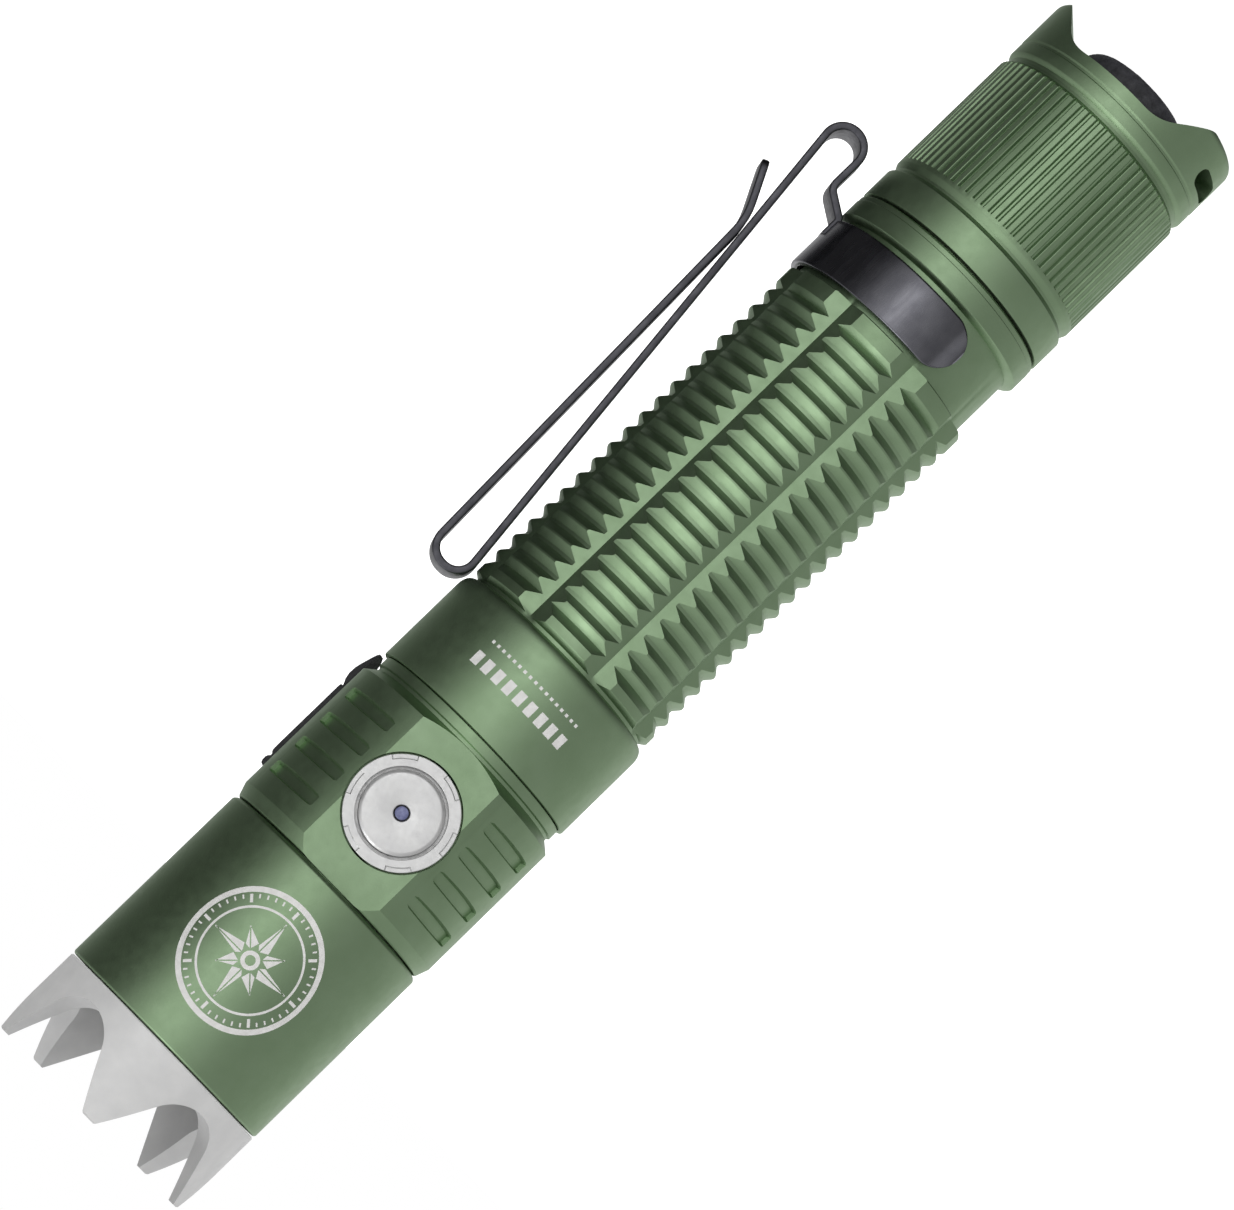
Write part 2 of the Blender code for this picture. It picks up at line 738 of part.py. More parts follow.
def driver():
    board_z = LEDGE_Z - GAP - BOARD_THICK
    disc("driver_board", 10.6 * MM, board_z, board_z + BOARD_THICK, "board_green", 32)
    ring_high = board_z - GAP
    ring = washer(
        "driver_retaining_ring", 8.8 * MM, 10.6 * MM, ring_high - 1.2 * MM, ring_high, "brass", 32
    )
    combine(ring, spanner_slots("driver_ring_slots", ring_high - 1.2 * MM))
    spring("driver_contact_spring", (3.2 * MM, 2.4 * MM), 101.7 * MM, ring_high, 2, 0.35 * MM)


def spanner_slots(name, face_z):
    """Two notches across a retaining ring for a pin spanner."""
    bm = bmesh.new()
    for side in (-1, 1):
        notch = rectangle(4.0 * MM, 1.5 * MM, side * 9.2 * MM)
        add_prism(bm, notch, face_z - 0.4 * MM, face_z + 0.4 * MM)
    return add_mesh(name, bm)


def grooved_ring(radius, height):
    """One ring of the tube's outside, dipped where the lengthwise grooves run along the grip."""
    sector = 2 * pi / GROOVE_COUNT
    plain = sector - 2 * GROOVE_HALF_ARC
    offsets = (-GROOVE_HALF_ARC, 0, GROOVE_HALF_ARC, GROOVE_HALF_ARC + plain / 2)
    ring = []
    on_grip = BAND_HIGH_Z < height < COLLAR_END_Z
    for index in range(GROOVE_COUNT):
        for offset in offsets:
            reach = min(radius, GROOVE_FLOOR_R) if on_grip and offset == 0 else radius
            point = outward(GROOVE_ANGLE + index * sector + offset) * reach
            ring.append(point + Vector((0, 0, height)))
    return ring


def body_tube():
    stub_bore = 11.8 * MM
    seal_r = 12.5 * MM
    male_r = TAIL_BORE_R - GAP
    top = NECK_Z - GAP
    last_ridge = FIRST_RIDGE_Z + (RIDGE_COUNT - 1) * RIDGE_PITCH
    ridges = []
    for index in range(RIDGE_COUNT):
        crest = last_ridge - index * RIDGE_PITCH
        ridges += [(VALLEY_R, crest + RIDGE_PITCH / 2), (RIDGE_R, crest)]
    low_valley = FIRST_RIDGE_Z - RIDGE_PITCH / 2
    outline = [
        (seal_r, top),
        (COLLAR_R - 0.3 * MM, top),
        (COLLAR_R, top - 0.3 * MM),
        (COLLAR_R, COLLAR_END_Z + 1.3 * MM),
        (12.35 * MM, COLLAR_END_Z),
        (11.9 * MM, COLLAR_END_Z - 0.2 * MM),
        (11.9 * MM, 87.1 * MM),
        (RIDGE_R, 86.7 * MM),
        (RIDGE_R, 85.7 * MM),
        *ridges,
        (VALLEY_R, low_valley),
        (RIDGE_R, low_valley - 0.4 * MM),
        (RIDGE_R, BAND_HIGH_Z + 0.4 * MM),
        (SEAT_R, BAND_HIGH_Z),
        (SEAT_R, BAND_LOW_Z - 0.8 * MM),
        (LIP_R, BAND_LOW_Z - 1.1 * MM),
        (LIP_R, LIP_END_Z),
        (LIP_BORE_R, LIP_END_Z),
        (LIP_BORE_R, LIP_END_Z + MM),
        (male_r, LIP_END_Z + MM),
        (male_r, TUBE_END_Z),
        (CELL_BORE_R, TUBE_END_Z),
        (CELL_BORE_R, 91.6 * MM),
        (stub_bore, 91.6 * MM),
        (stub_bore, 98.2 * MM),
        (seal_r, 98.2 * MM),
    ]
    bm = bmesh.new()
    add_rings(bm, [grooved_ring(radius, height) for radius, height in outline], closed=True)
    add_mesh("body_tube", bm, "green_anodised")
    o_ring("neck_o_ring", 12.0 * MM, 98.72 * MM, 0.8 * MM)
    o_ring("tail_o_ring", 11.8 * MM, LIP_END_Z + 0.4 * MM, 0.7 * MM)


def battery():
    top = CELL_LOW_Z + CELL_LENGTH
    body_top = top - NUB_HEIGHT
    edge = 0.5 * MM
    turned(
        "battery_cell",
        [
            (0, top),
            (NUB_R, top),
            (NUB_R, body_top),
            (CELL_R - edge, body_top),
            (CELL_R, body_top - edge),
            (CELL_R, CELL_LOW_Z + edge),
            (CELL_R - edge, CELL_LOW_Z),
            (0, CELL_LOW_Z),
        ],
        "cell_wrap",
        32,
    )


def bend_route():
    """Centre line of the clip's strip, with each corner rounded to its bend radius."""
    corners = [Vector((x * MM, 0, z * MM)) for x, z, _ in CLIP_CORNERS]
    radii = [radius * MM for _, _, radius in CLIP_CORNERS]
    route = [corners[0]]
    for before, corner, after, radius in zip(corners, corners[1:], corners[2:], radii[1:]):
        into = (before - corner).normalized()
        away = (after - corner).normalized()
        half = into.angle(away) / 2
        tangent = radius / tan(half)
        start = corner + into * tangent
        end = corner + away * tangent
        centre = corner + (into + away).normalized() * (radius / sin(half))
        sweep = pi - 2 * half
        steps = max(2, round(sweep / radians(18)))
        arm, goal = start - centre, end - centre
        for step in range(steps + 1):
            share = sweep * step / steps
            spoke = (arm * sin(sweep - share) + goal * sin(share)) / sin(sweep)
            route.append(centre + spoke)
    route.append(corners[-1])
    return route


def strip(name, route, finish_name=None):
    """Flat bar of the clip's width that follows a route in the XZ plane."""
    bm = bmesh.new()
    sections = []
    for index, point in enumerate(route):
        ahead = route[min(index + 1, len(route) - 1)]
        behind = route[max(index - 1, 0)]
        along = (ahead - behind).normalized()
        normal = Vector((along.z, 0, -along.x))
        side = Vector((0, CLIP_WIDTH / 2, 0))
        depth = normal * (CLIP_THICK / 2)
        sections.append(
            [point - side - depth, point + side - depth, point + side + depth, point - side + depth]
        )
    add_rings(bm, sections)
    return add_mesh(name, bm, finish_name)


def split_route(route, centre, cut_z_sign):
    """Index of the route's point furthest round a bend, where the strip is parted."""
    near = [index for index, point in enumerate(route) if (point - centre).length < LOOP_R * 1.25]
    return max(near, key=lambda index: cut_z_sign * route[index].z)


def parted(route, index):
    """The two halves of a route at a point, each pulled back by half the gap."""
    point = route[index]
    back = (route[index - 1] - point).normalized() * (GAP / 2)
    ahead = (route[index + 1] - point).normalized() * (GAP / 2)
    return route[:index] + [point + back], [point + ahead] + route[index + 1 :]


def pocket_clip():
    route = bend_route()
    at_loop = split_route(route, LOOP_CENTRE, -1)
    root_route, rest = parted(route, at_loop)
    arm_route, tongue_route = parted(rest, split_route(rest, BEND_CENTRE, 1))
    bm = bmesh.new()
    sections = []
    steps = 28
    for step in range(steps + 1):
        out = outward(pi / 2 + BAND_HALF_ARC * (2 * step / steps - 1))
        sections.append(
            [
                out * radius + Vector((0, 0, height))
                for radius, height in (
                    (BAND_R, BAND_LOW_Z),
                    (BAND_R + CLIP_THICK, BAND_LOW_Z),
                    (BAND_R + CLIP_THICK, BAND_HIGH_Z - 0.4 * MM),
                    (BAND_R, BAND_HIGH_Z - 0.4 * MM),
                )
            ]
        )
    add_rings(bm, sections)
    band = add_mesh("clip_ring", bm, "black_steel")
    combine(band, strip("clip_riser", root_route), "UNION")
    arm = strip("clip_arm", arm_route, "black_steel")
    hang_on(arm, "clip_arm_pivot", LOOP_CENTRE)
    tongue = strip("clip_tongue", tongue_route, "black_steel")
    hang_on(tongue, "clip_tongue_pivot", BEND_CENTRE)


def tail_cap():
    edge = 0.5 * MM
    outline = [
        (TAIL_BORE_R, CAP_FRONT_Z),
        (CAP_R - 0.2 * MM, CAP_FRONT_Z),
        (CAP_R, CAP_FRONT_Z - 0.2 * MM),
        (CAP_R, 25.95 * MM),
        (12.3 * MM, 25.5 * MM),
        (12.3 * MM, 24.4 * MM),
        (KNURL_R, 24.0 * MM),
        (KNURL_R, 9.0 * MM),
        (12.2 * MM, 8.7 * MM),
        (12.2 * MM, 8.0 * MM),
        (12.7 * MM, 7.6 * MM),
        (12.7 * MM, edge),
        (12.7 * MM - edge, 0),
        (BOOT_HOLE_R, 0),
        (BOOT_HOLE_R, BOOT_LEDGE_Z),
        (TAIL_CAVITY_R, BOOT_LEDGE_Z),
        (TAIL_CAVITY_R, TAIL_CAVITY_Z),
        (TAIL_BORE_R, TAIL_CAVITY_Z),
    ]
    cap = turned("tail_cap", outline, "green_anodised")
    below = MM
    slope = (RIM_CUT_TIP_HALF - RIM_CUT_HALF) / RIM_CUT_DEPTH
    wide = RIM_CUT_TIP_HALF + slope * below
    ease = 1.5 * MM
    profile = [
        (-wide, -below),
        (-RIM_CUT_HALF - slope * ease, RIM_CUT_DEPTH - ease),
        (-RIM_CUT_HALF + ease, RIM_CUT_DEPTH),
        (RIM_CUT_HALF - ease, RIM_CUT_DEPTH),
        (RIM_CUT_HALF + slope * ease, RIM_CUT_DEPTH - ease),
        (wide, -below),
    ]
    across = facing(HORN_ANGLE - pi / 2)
    combine(cap, prism("rim_cut", profile, -15 * MM, 15 * MM, None, across))
    length, width = LANYARD_SIZE
    hole = [(y, x) for x, y in stadium(length, width)]
    frame = facing(LANYARD_ANGLE, 0, LANYARD_Z)
    combine(cap, prism("lanyard_hole", hole, 6.5 * MM, 15 * MM, None, frame))


def tail_switch():
    flange_low = BOOT_LEDGE_Z + GAP
    flange_high = flange_low + 1.2 * MM
    hollow_r = 5.6 * MM
    skin_z = BOOT_FACE_Z + 2.0 * MM
    turned(
        "tail_boot",
        [
            (0, flange_high - 4.9 * MM),
            (hollow_r, skin_z),
            (hollow_r, flange_high),
            (BOOT_FLANGE_R, flange_high),
            (BOOT_FLANGE_R, flange_low),
            (BOOT_R, flange_low),
            (BOOT_R, 2.2 * MM),
            (6.5 * MM, 1.1 * MM),
            (5.2 * MM, BOOT_FACE_Z),
            (0, BOOT_FACE_Z),
        ],
        "black_rubber",
        32,
    )
    head_low = skin_z + GAP
    turned(
        "tail_plunger",
        [
            (0, 11.3 * MM),
            (TAIL_STEM_R, 11.3 * MM),
            (TAIL_STEM_R, head_low + 2 * MM),
            (hollow_r - 0.4 * MM, head_low + 2 * MM),
            (hollow_r - 0.4 * MM, head_low),
            (0, head_low),
        ],
        "white_plastic",
        SMALL_SEGMENTS,
    )
    washer_low = flange_high + GAP
    washer("tail_washer", 6.0 * MM, BOOT_FLANGE_R, washer_low, washer_low + 0.8 * MM, "white_plastic", 32)
    body_low = washer_low + 0.8 * MM + GAP
    body_high = body_low + 6.2 * MM
    turned(
        "tail_switch_body",
        [
            (0, body_high),
            (7.6 * MM, body_high),
            (7.6 * MM, body_low),
            (TAIL_STEM_R + GAP, body_low),
            (TAIL_STEM_R + GAP, body_high - 0.4 * MM),
            (0, body_high - 0.4 * MM),
        ],
        "black_plastic",
        SMALL_SEGMENTS,
    )
    spring(
        "tail_switch_spring", (2.3 * MM, 2.3 * MM), 11.6 * MM, body_high - 0.7 * MM, 3, 0.25 * MM
    )
    board_low = body_high + GAP
    disc("tail_board", BOOT_FLANGE_R, board_low, board_low + BOARD_THICK, "board_green", 32)
    ring_low = board_low + BOARD_THICK + GAP
    ring_high = ring_low + 1.4 * MM
    ring = washer("tail_retaining_ring", 6.6 * MM, BOOT_FLANGE_R, ring_low, ring_high, "brass", 32)
    bm = bmesh.new()
    for side in (-1, 1):
        add_prism(bm, rectangle(4.0 * MM, 1.5 * MM, side * 8.4 * MM), ring_high - 0.4 * MM, ring_high + MM)
    combine(ring, add_mesh("tail_ring_slots", bm))
    spring(
        "tail_contact_spring", (5.4 * MM, 3.2 * MM), ring_low, CELL_LOW_Z - GAP, 4.5, 0.45 * MM
    )


def main():
    clear_scene()
    strike_bezel()
    optics()
    head_shell()
    led_wires()
    switch_housing()
    side_button()
    charging_port()
    port_cover()
    driver()
    body_tube()
    battery()
    pocket_clip()
    tail_cap()
    tail_switch()


main()
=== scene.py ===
"""Tactical flashlight: the visual model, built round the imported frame.

Metres, +Z up along the beam. The side button faces -Y and the clip is on +X. Angles round the body
count from -Y towards +X. The flashlight stands on the two horns of its tail cap.
"""

import json
from math import asin, cos, hypot, pi, radians, sin, sqrt, tan, tau

import bmesh
import bpy
from mathutils import Matrix, Vector, noise


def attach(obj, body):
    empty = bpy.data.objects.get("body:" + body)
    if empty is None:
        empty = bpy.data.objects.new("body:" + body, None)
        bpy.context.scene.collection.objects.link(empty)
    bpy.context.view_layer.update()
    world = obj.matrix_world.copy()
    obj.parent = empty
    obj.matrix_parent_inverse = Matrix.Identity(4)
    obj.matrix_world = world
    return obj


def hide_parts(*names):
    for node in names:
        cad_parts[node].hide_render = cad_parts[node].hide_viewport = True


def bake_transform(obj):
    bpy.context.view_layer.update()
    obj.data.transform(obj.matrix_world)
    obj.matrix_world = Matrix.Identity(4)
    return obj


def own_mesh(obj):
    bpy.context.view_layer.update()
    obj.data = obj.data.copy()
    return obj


MM = 0.001
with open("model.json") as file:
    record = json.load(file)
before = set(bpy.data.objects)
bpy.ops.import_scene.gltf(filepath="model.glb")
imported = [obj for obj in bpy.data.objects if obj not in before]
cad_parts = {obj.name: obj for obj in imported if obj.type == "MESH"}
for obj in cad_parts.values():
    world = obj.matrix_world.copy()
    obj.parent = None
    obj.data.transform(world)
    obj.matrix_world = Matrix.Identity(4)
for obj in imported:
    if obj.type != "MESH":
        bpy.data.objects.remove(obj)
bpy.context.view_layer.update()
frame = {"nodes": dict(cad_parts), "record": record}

# Heights from the horns' tips, and radii, as in the CAD part.
TIP_Z = 154.4 * MM
BEZEL_Z = 143.95 * MM
HEAD_Z = 120.75 * MM
NECK_Z = 99.56 * MM
COLLAR_END_Z = 87.6 * MM
TUBE_END_Z = 23.0 * MM
CAP_FRONT_Z = 29.57 * MM
BEZEL_R = 13.25 * MM
BEZEL_BORE_R = 10.6 * MM
BEZEL_SKIRT_R = 11.55 * MM
HEAD_R = 13.29 * MM
HEAD_BORE_R = 11.85 * MM
HOUSING_R = 13.52 * MM
THREAD_BORE_R = 11.75 * MM
CELL_BORE_R = 10.95 * MM
NECK_R = 12.57 * MM
COLLAR_R = 13.05 * MM
RIDGE_R = 12.6 * MM
VALLEY_R = 11.95 * MM
SEAT_R = 11.75 * MM
LIP_R = 12.78 * MM
LIP_BORE_R = 12.4 * MM
LIP_END_Z = 29.9 * MM
CAP_R = 12.75 * MM
KNURL_R = 12.68 * MM
GAP = 0.3 * MM
TEETH = 5
MARK_HEIGHT = 0.012 * MM


# --- materials


def map_range(nodes, links, source, limits):
    """Node that takes a source from the first two of limits to the last two."""
    node = nodes.new("ShaderNodeMapRange")
    for socket, value in zip(("From Min", "From Max", "To Min", "To Max"), limits):
        node.inputs[socket].default_value = value
    links.new(source, node.inputs["Value"])
    return node


class Surface:
    """A Principled material with object coordinates ready for its noises."""

    def __init__(self, name, colour, metallic, roughness):
        self.material = bpy.data.materials.new(name)
        self.material.use_nodes = True
        self.nodes = self.material.node_tree.nodes
        self.links = self.material.node_tree.links
        self.inputs = self.nodes["Principled BSDF"].inputs
        self.set(Base_Color=(*colour, 1), Metallic=metallic, Roughness=roughness)
        self.place = self.nodes.new("ShaderNodeTexCoord").outputs["Object"]
        self.height = None

    def noise(self, scale, detail, stretch=(1, 1, 1)):
        """Noise with features about 1/scale metres across, longer along an axis with a small stretch."""
        mapping = self.nodes.new("ShaderNodeMapping")
        mapping.inputs["Scale"].default_value = stretch
        self.links.new(self.place, mapping.inputs["Vector"])
        texture = self.nodes.new("ShaderNodeTexNoise")
        texture.inputs["Scale"].default_value = scale
        texture.inputs["Detail"].default_value = detail
        self.links.new(mapping.outputs["Vector"], texture.inputs["Vector"])
        return texture.outputs["Fac"]

    def ramp(self, source, low, high):
        """Maps the middle of a noise onto a range of values."""
        return map_range(self.nodes, self.links, source, (0.3, 0.7, low, high)).outputs["Result"]

    def blend(self, source, first, second):
        """Base colour that goes from first to second with a noise."""
        node = self.nodes.new("ShaderNodeMix")
        node.data_type = "RGBA"
        self.links.new(self.ramp(source, 0, 1), node.inputs["Factor"])
        node.inputs["A"].default_value = (*first, 1)
        node.inputs["B"].default_value = (*second, 1)
        self.links.new(node.outputs["Result"], self.inputs["Base Color"])

    def rough(self, source, low, high):
        self.links.new(self.ramp(source, low, high), self.inputs["Roughness"])

    def bump(self, source, distance, strength):
        """Adds relief of that height, on top of any there is."""
        node = self.nodes.new("ShaderNodeBump")
        node.inputs["Distance"].default_value = distance
        node.inputs["Strength"].default_value = strength
        self.links.new(source, node.inputs["Height"])
        if self.height:
            self.links.new(self.height, node.inputs["Normal"])
        self.height = node.outputs["Normal"]
        self.links.new(self.height, self.inputs["Normal"])

    def set(self, **values):
        for socket, value in values.items():
            self.inputs[socket.replace("_", " ")].default_value = value


def grained(name, base, clouds, sheen, *reliefs):
    """Material with its base (colour, metallic, roughness), the noise and the two shades of its colour,
    the noise and limits of its roughness, and the noise, height and strength of each relief.
    """
    made = Surface(name, *base)
    made.blend(made.noise(*clouds[0]), *clouds[1:])
    made.rough(made.noise(*sheen[0]), *sheen[1:])
    for grain, distance, strength in reliefs:
        made.bump(made.noise(*grain), distance, strength)
    return made.material


def plain(name, colour, metallic, roughness):
    """Fine-grained finish for the pieces inside."""
    darker = tuple(channel * 0.86 for channel in colour)
    lighter = tuple(min(1.0, channel * 1.12) for channel in colour)
    sheen = ((2500, 2), roughness * 0.85, roughness * 1.15)
    relief = ((5000, 2), 0.00001, 0.4)
    return grained(name, (colour, metallic, roughness), ((625, 3), darker, lighter), sheen, relief)


def coated_glass():
    made = Surface("coated_glass", (0.97, 0.985, 0.985), 0.0, 0.02)
    made.set(Transmission_Weight=1.0, IOR=1.46, Coat_Weight=0.2)
    made.rough(made.noise(200, 2), 0.01, 0.03)
    return made.material


ALONG = (1, 1, 0.2)
FINISHES = {
    # Hard-anodised aluminium: satin, with a fine blasted grain and faint clouding of the dye.
    "green_anodised": grained(
        "anodised_green", ((0.30, 0.425, 0.26), 1.0, 0.45),
        ((260, 3), (0.287, 0.408, 0.247), (0.316, 0.44, 0.276)), ((900, 2), 0.43, 0.49),
        ((4200, 2), 0.00002, 0.35), ((9000, 2), 0.000012, 0.35),
    ),
    # Bead-blasted stainless steel of the striking ring.
    "blasted_steel": grained(
        "blasted_steel", ((0.55, 0.55, 0.55), 0.3, 0.48),
        ((420, 3), (0.52, 0.52, 0.52), (0.57, 0.569, 0.566)), ((1500, 2), 0.46, 0.56),
        ((7000, 3), 0.00002, 0.35),
    ),
    # Bright turned steel of the side button and its ring.
    "stainless": grained(
        "turned_steel", ((0.66, 0.66, 0.66), 0.85, 0.42),
        ((700, 3), (0.64, 0.64, 0.64), (0.70, 0.70, 0.695)), ((2500, 2), 0.36, 0.48),
        ((9000, 2), 0.000008, 0.3),
    ),
    # Blackened spring steel: satin, with faint rubbing marks along the strip.
    "black_steel": grained(
        "black_spring_steel", ((0.15, 0.15, 0.165), 1.0, 0.27),
        ((500, 3), (0.13, 0.13, 0.147), (0.17, 0.17, 0.188)), ((1800, 3, ALONG), 0.22, 0.32),
        ((5000, 3, (1, 1, 0.25)), 0.000012, 0.25),
    ),
    # Moulded black rubber with a fine matt texture.
    "black_rubber": grained(
        "black_rubber", ((0.016, 0.016, 0.018), 0.0, 0.7),
        ((800, 3), (0.012, 0.012, 0.014), (0.024, 0.024, 0.027)), ((2600, 2), 0.6, 0.8),
        ((5200, 3), 0.00004, 0.5),
    ),
    # Vapour-coated reflector with a faint waviness.
    "mirror": grained(
        "mirror_coating", ((0.92, 0.92, 0.92), 1.0, 0.06),
        ((300, 2), (0.90, 0.90, 0.90), (0.94, 0.94, 0.945)), ((600, 2), 0.04, 0.09),
        ((500, 1), 0.00002, 0.15),
    ),
    "clear_glass": coated_glass(),
    "indicator_blue": grained(
        "light_pipe", ((0.10, 0.11, 0.22), 0.0, 0.18),
        ((3000, 2), (0.08, 0.09, 0.19), (0.16, 0.17, 0.30)), ((4000, 2), 0.14, 0.24),
    ),
    "emitter_yellow": grained(
        "phosphor", ((0.82, 0.72, 0.18), 0.0, 0.4),
        ((2500, 3), (0.80, 0.68, 0.14), (0.86, 0.78, 0.26)), ((3000, 2), 0.3, 0.5),
        ((9000, 2), 0.00001, 0.3),
    ),
    "board_green": plain("solder_mask", (0.02, 0.16, 0.06), 0.0, 0.4),
    "board_copper": plain("copper_board", (0.72, 0.38, 0.22), 1.0, 0.35),
    "brass": plain("turned_brass", (0.78, 0.58, 0.28), 1.0, 0.3),
    "spring_gold": plain("gold_plate", (0.85, 0.65, 0.32), 1.0, 0.22),
    "white_plastic": plain("white_plastic", (0.78, 0.78, 0.76), 0.0, 0.5),
    "black_plastic": plain("black_plastic", (0.03, 0.03, 0.032), 0.0, 0.5),
    "wire_red": plain("red_insulation", (0.45, 0.02, 0.02), 0.0, 0.45),
    "wire_black": plain("black_insulation", (0.02, 0.02, 0.02), 0.0, 0.45),
    "cell_wrap": plain("cell_wrap", (0.05, 0.09, 0.2), 0.0, 0.35),
}
# Laser-etched mark, where the dye is burnt away down to pale metal.
ETCHED = grained(
    "etched_mark", ((0.62, 0.61, 0.60), 0.35, 0.6),
    ((1500, 3), (0.60, 0.595, 0.58), (0.69, 0.685, 0.675)), ((3000, 2), 0.52, 0.68),
    ((12000, 2), 0.00001, 0.4),
)
# Coarser pebbled rubber of the tail button.
BOOT = grained(
    "boot_rubber", ((0.02, 0.02, 0.024), 0.0, 0.6),
    ((1200, 3), (0.014, 0.014, 0.018), (0.035, 0.035, 0.042)), ((2600, 2), 0.5, 0.75),
    ((2400, 3), 0.00012, 0.7),
)
# The clip's spring steel on the narrow sheared strip of its arms, which is duller.
SHEARED = grained(
    "sheared_spring_steel", ((0.09, 0.09, 0.1), 1.0, 0.42),
    ((700, 3), (0.075, 0.075, 0.085), (0.115, 0.115, 0.128)), ((1800, 3, ALONG), 0.36, 0.5),
    ((4200, 3, (1, 1, 0.3)), 0.000022, 0.4),
)


# --- shapes


UP = Vector((0, 0, 1))


def outward(angle):
    """Unit vector that points away from the axis at that angle."""
    return Vector((sin(angle), -cos(angle), 0))


def facing(angle, distance=0, height=0):
    """Frame whose +Z points outwards at that angle and whose +Y points up."""
    out = outward(angle)
    axes = Matrix((UP.cross(out), UP, out)).transposed().to_4x4()
    return Matrix.Translation(out * distance + UP * height) @ axes


def link(name, data):
    obj = bpy.data.objects.new(name, data)
    bpy.context.scene.collection.objects.link(obj)
    return obj


def add_mesh(name, bm, place=None, sharp=30):
    """Object of the bmesh, moved into a frame, with edges of over sharp degrees left crisp."""
    bmesh.ops.remove_doubles(bm, verts=bm.verts, dist=1e-7)
    bmesh.ops.recalc_face_normals(bm, faces=bm.faces)
    if place:
        bm.transform(place)
    mesh = bpy.data.meshes.new(name)
    bm.to_mesh(mesh)
    bm.free()
    mesh.shade_smooth()
    mesh.set_sharp_from_angle(angle=radians(sharp))
    return link(name, mesh)


def add_rings(bm, rings, closed=False):
    """Skins a row of rings that have equal counts of points."""
    loops = [[bm.verts.new(point) for point in ring] for ring in rings]
    pairs = list(zip(loops, loops[1:]))
    if closed:
        pairs.append((loops[-1], loops[0]))
    for low, high in pairs:
        for index, corner in enumerate(low):
            following = (index + 1) % len(low)
            bm.faces.new((corner, low[following], high[following], high[index]))
    if not closed:
        bm.faces.new(loops[0])
        bm.faces.new(loops[-1])


def extrude(bm, outline, low, high, place=None):
    """Adds a flat (x, y) outline drawn out from one height to the other, in a frame."""
    place = place or Matrix()
    add_rings(bm, [[place @ Vector((x, y, level)) for x, y in outline] for level in (low, high)])


def skin(name, rings, closed=False, sharp=30):
    bm = bmesh.new()
    add_rings(bm, rings, closed)
    return add_mesh(name, bm, sharp=sharp)


def turned(name, outline, segments, place=None, sharp=30):
    """Solid of revolution about Z, from (radius, height) points that run down its outer side."""
    bm = bmesh.new()
    points = [bm.verts.new((radius, 0, height)) for radius, height in outline]
    pairs = list(zip(points, points[1:]))
    if outline[0][0] or outline[-1][0]:
        pairs.append((points[-1], points[0]))
    edges = [bm.edges.new(pair) for pair in pairs]
    around = {"cent": (0, 0, 0), "axis": UP, "angle": tau, "steps": segments, "use_merge": True}
    bmesh.ops.spin(bm, geom=points + edges, **around)
    return add_mesh(name, bm, place, sharp)


def curve(start, corner, end, steps):
    """Points of the quadratic curve that rounds a corner."""
    shares = [step / steps for step in range(steps + 1)]
    points = [start * (1 - t) ** 2 + corner * (2 * t * (1 - t)) + end * t**2 for t in shares]
    return [(point.x, point.y) for point in points]


def eased(outline, radius, steps=3, only=None):
    """Rounds the corners of a closed (radius, height) outline, or those whose index is in only."""
    made = []
    count = len(outline)
    for index, corner in enumerate(outline):
        before, after = outline[index - 1], outline[(index + 1) % count]
        if (only is not None and index not in only) or corner[0] == 0:
            made.append(corner)
            continue
        corner, before, after = Vector(corner), Vector(before), Vector(after)
        into, away = before - corner, after - corner
        reach = min(radius, into.length * 0.45, away.length * 0.45)
        start = corner + into.normalized() * reach
        end = corner + away.normalized() * reach
        made += curve(start, corner, end, steps)
    return made


def prism(name, outline, low, high, place=None):
    """Extrudes a flat (x, y) outline from one height to the other."""
    bm = bmesh.new()
    extrude(bm, outline, low, high)
    return add_mesh(name, bm, place)


def quarter(steps):
    return [radians(90) * step / steps for step in range(steps + 1)]


def circle(radius, steps):
    turns = [tau * step / steps for step in range(steps)]
    return [(radius * cos(turn), radius * sin(turn)) for turn in turns]


def rectangle(width, height, x=0, y=0):
    return [
        (x + side * width / 2, y + end * height / 2)
        for side, end in ((-1, -1), (1, -1), (1, 1), (-1, 1))
    ]


def stadium(length, height, steps=12):
    """Round-ended slot outline, long in Y."""
    radius = height / 2
    middle = length / 2 - radius
    upper = [pi * step / steps for step in range(steps + 1)]
    top = [(radius * cos(turn), middle + radius * sin(turn)) for turn in upper]
    return top + [(-x, -y) for x, y in top]


def arc_section(inner, outer, half_arc, height, angle, steps):
    """Closed ring of points round a curved bar's section at one height."""
    turns = [angle + half_arc * (2 * step / steps - 1) for step in range(steps + 1)]
    up = UP * height
    near = [outward(turn) * inner + up for turn in turns]
    far = [outward(turn) * outer + up for turn in turns]
    return near + far[::-1]


def settle(obj):
    """Applies the modifiers and clears away the shapes that they used."""
    graph = bpy.context.evaluated_depsgraph_get()
    mesh = bpy.data.meshes.new_from_object(obj.evaluated_get(graph))
    tools = [m.object for m in obj.modifiers if m.type == "BOOLEAN"]
    obj.modifiers.clear()
    obj.data = mesh
    for tool in tools:
        bpy.data.objects.remove(tool, do_unlink=True)
    return obj


def cut(obj, tool, overlapping=False, operation="DIFFERENCE"):
    modifier = obj.modifiers.new(tool.name, "BOOLEAN")
    modifier.object = tool
    modifier.operation = operation
    modifier.solver = "EXACT"
    modifier.use_self = overlapping
    return obj


def soften(obj, width, angle=35, segments=2, harden=True):
    """Small rounded edges, which catch the light."""
    modifier = obj.modifiers.new("edges", "BEVEL")
    modifier.width = width
    modifier.segments = segments
    modifier.limit_method = "ANGLE"
    modifier.angle_limit = radians(angle)
    modifier.harden_normals = harden
    return obj


def paint(obj, material):
    obj.data.materials.clear()
    obj.data.materials.append(material)


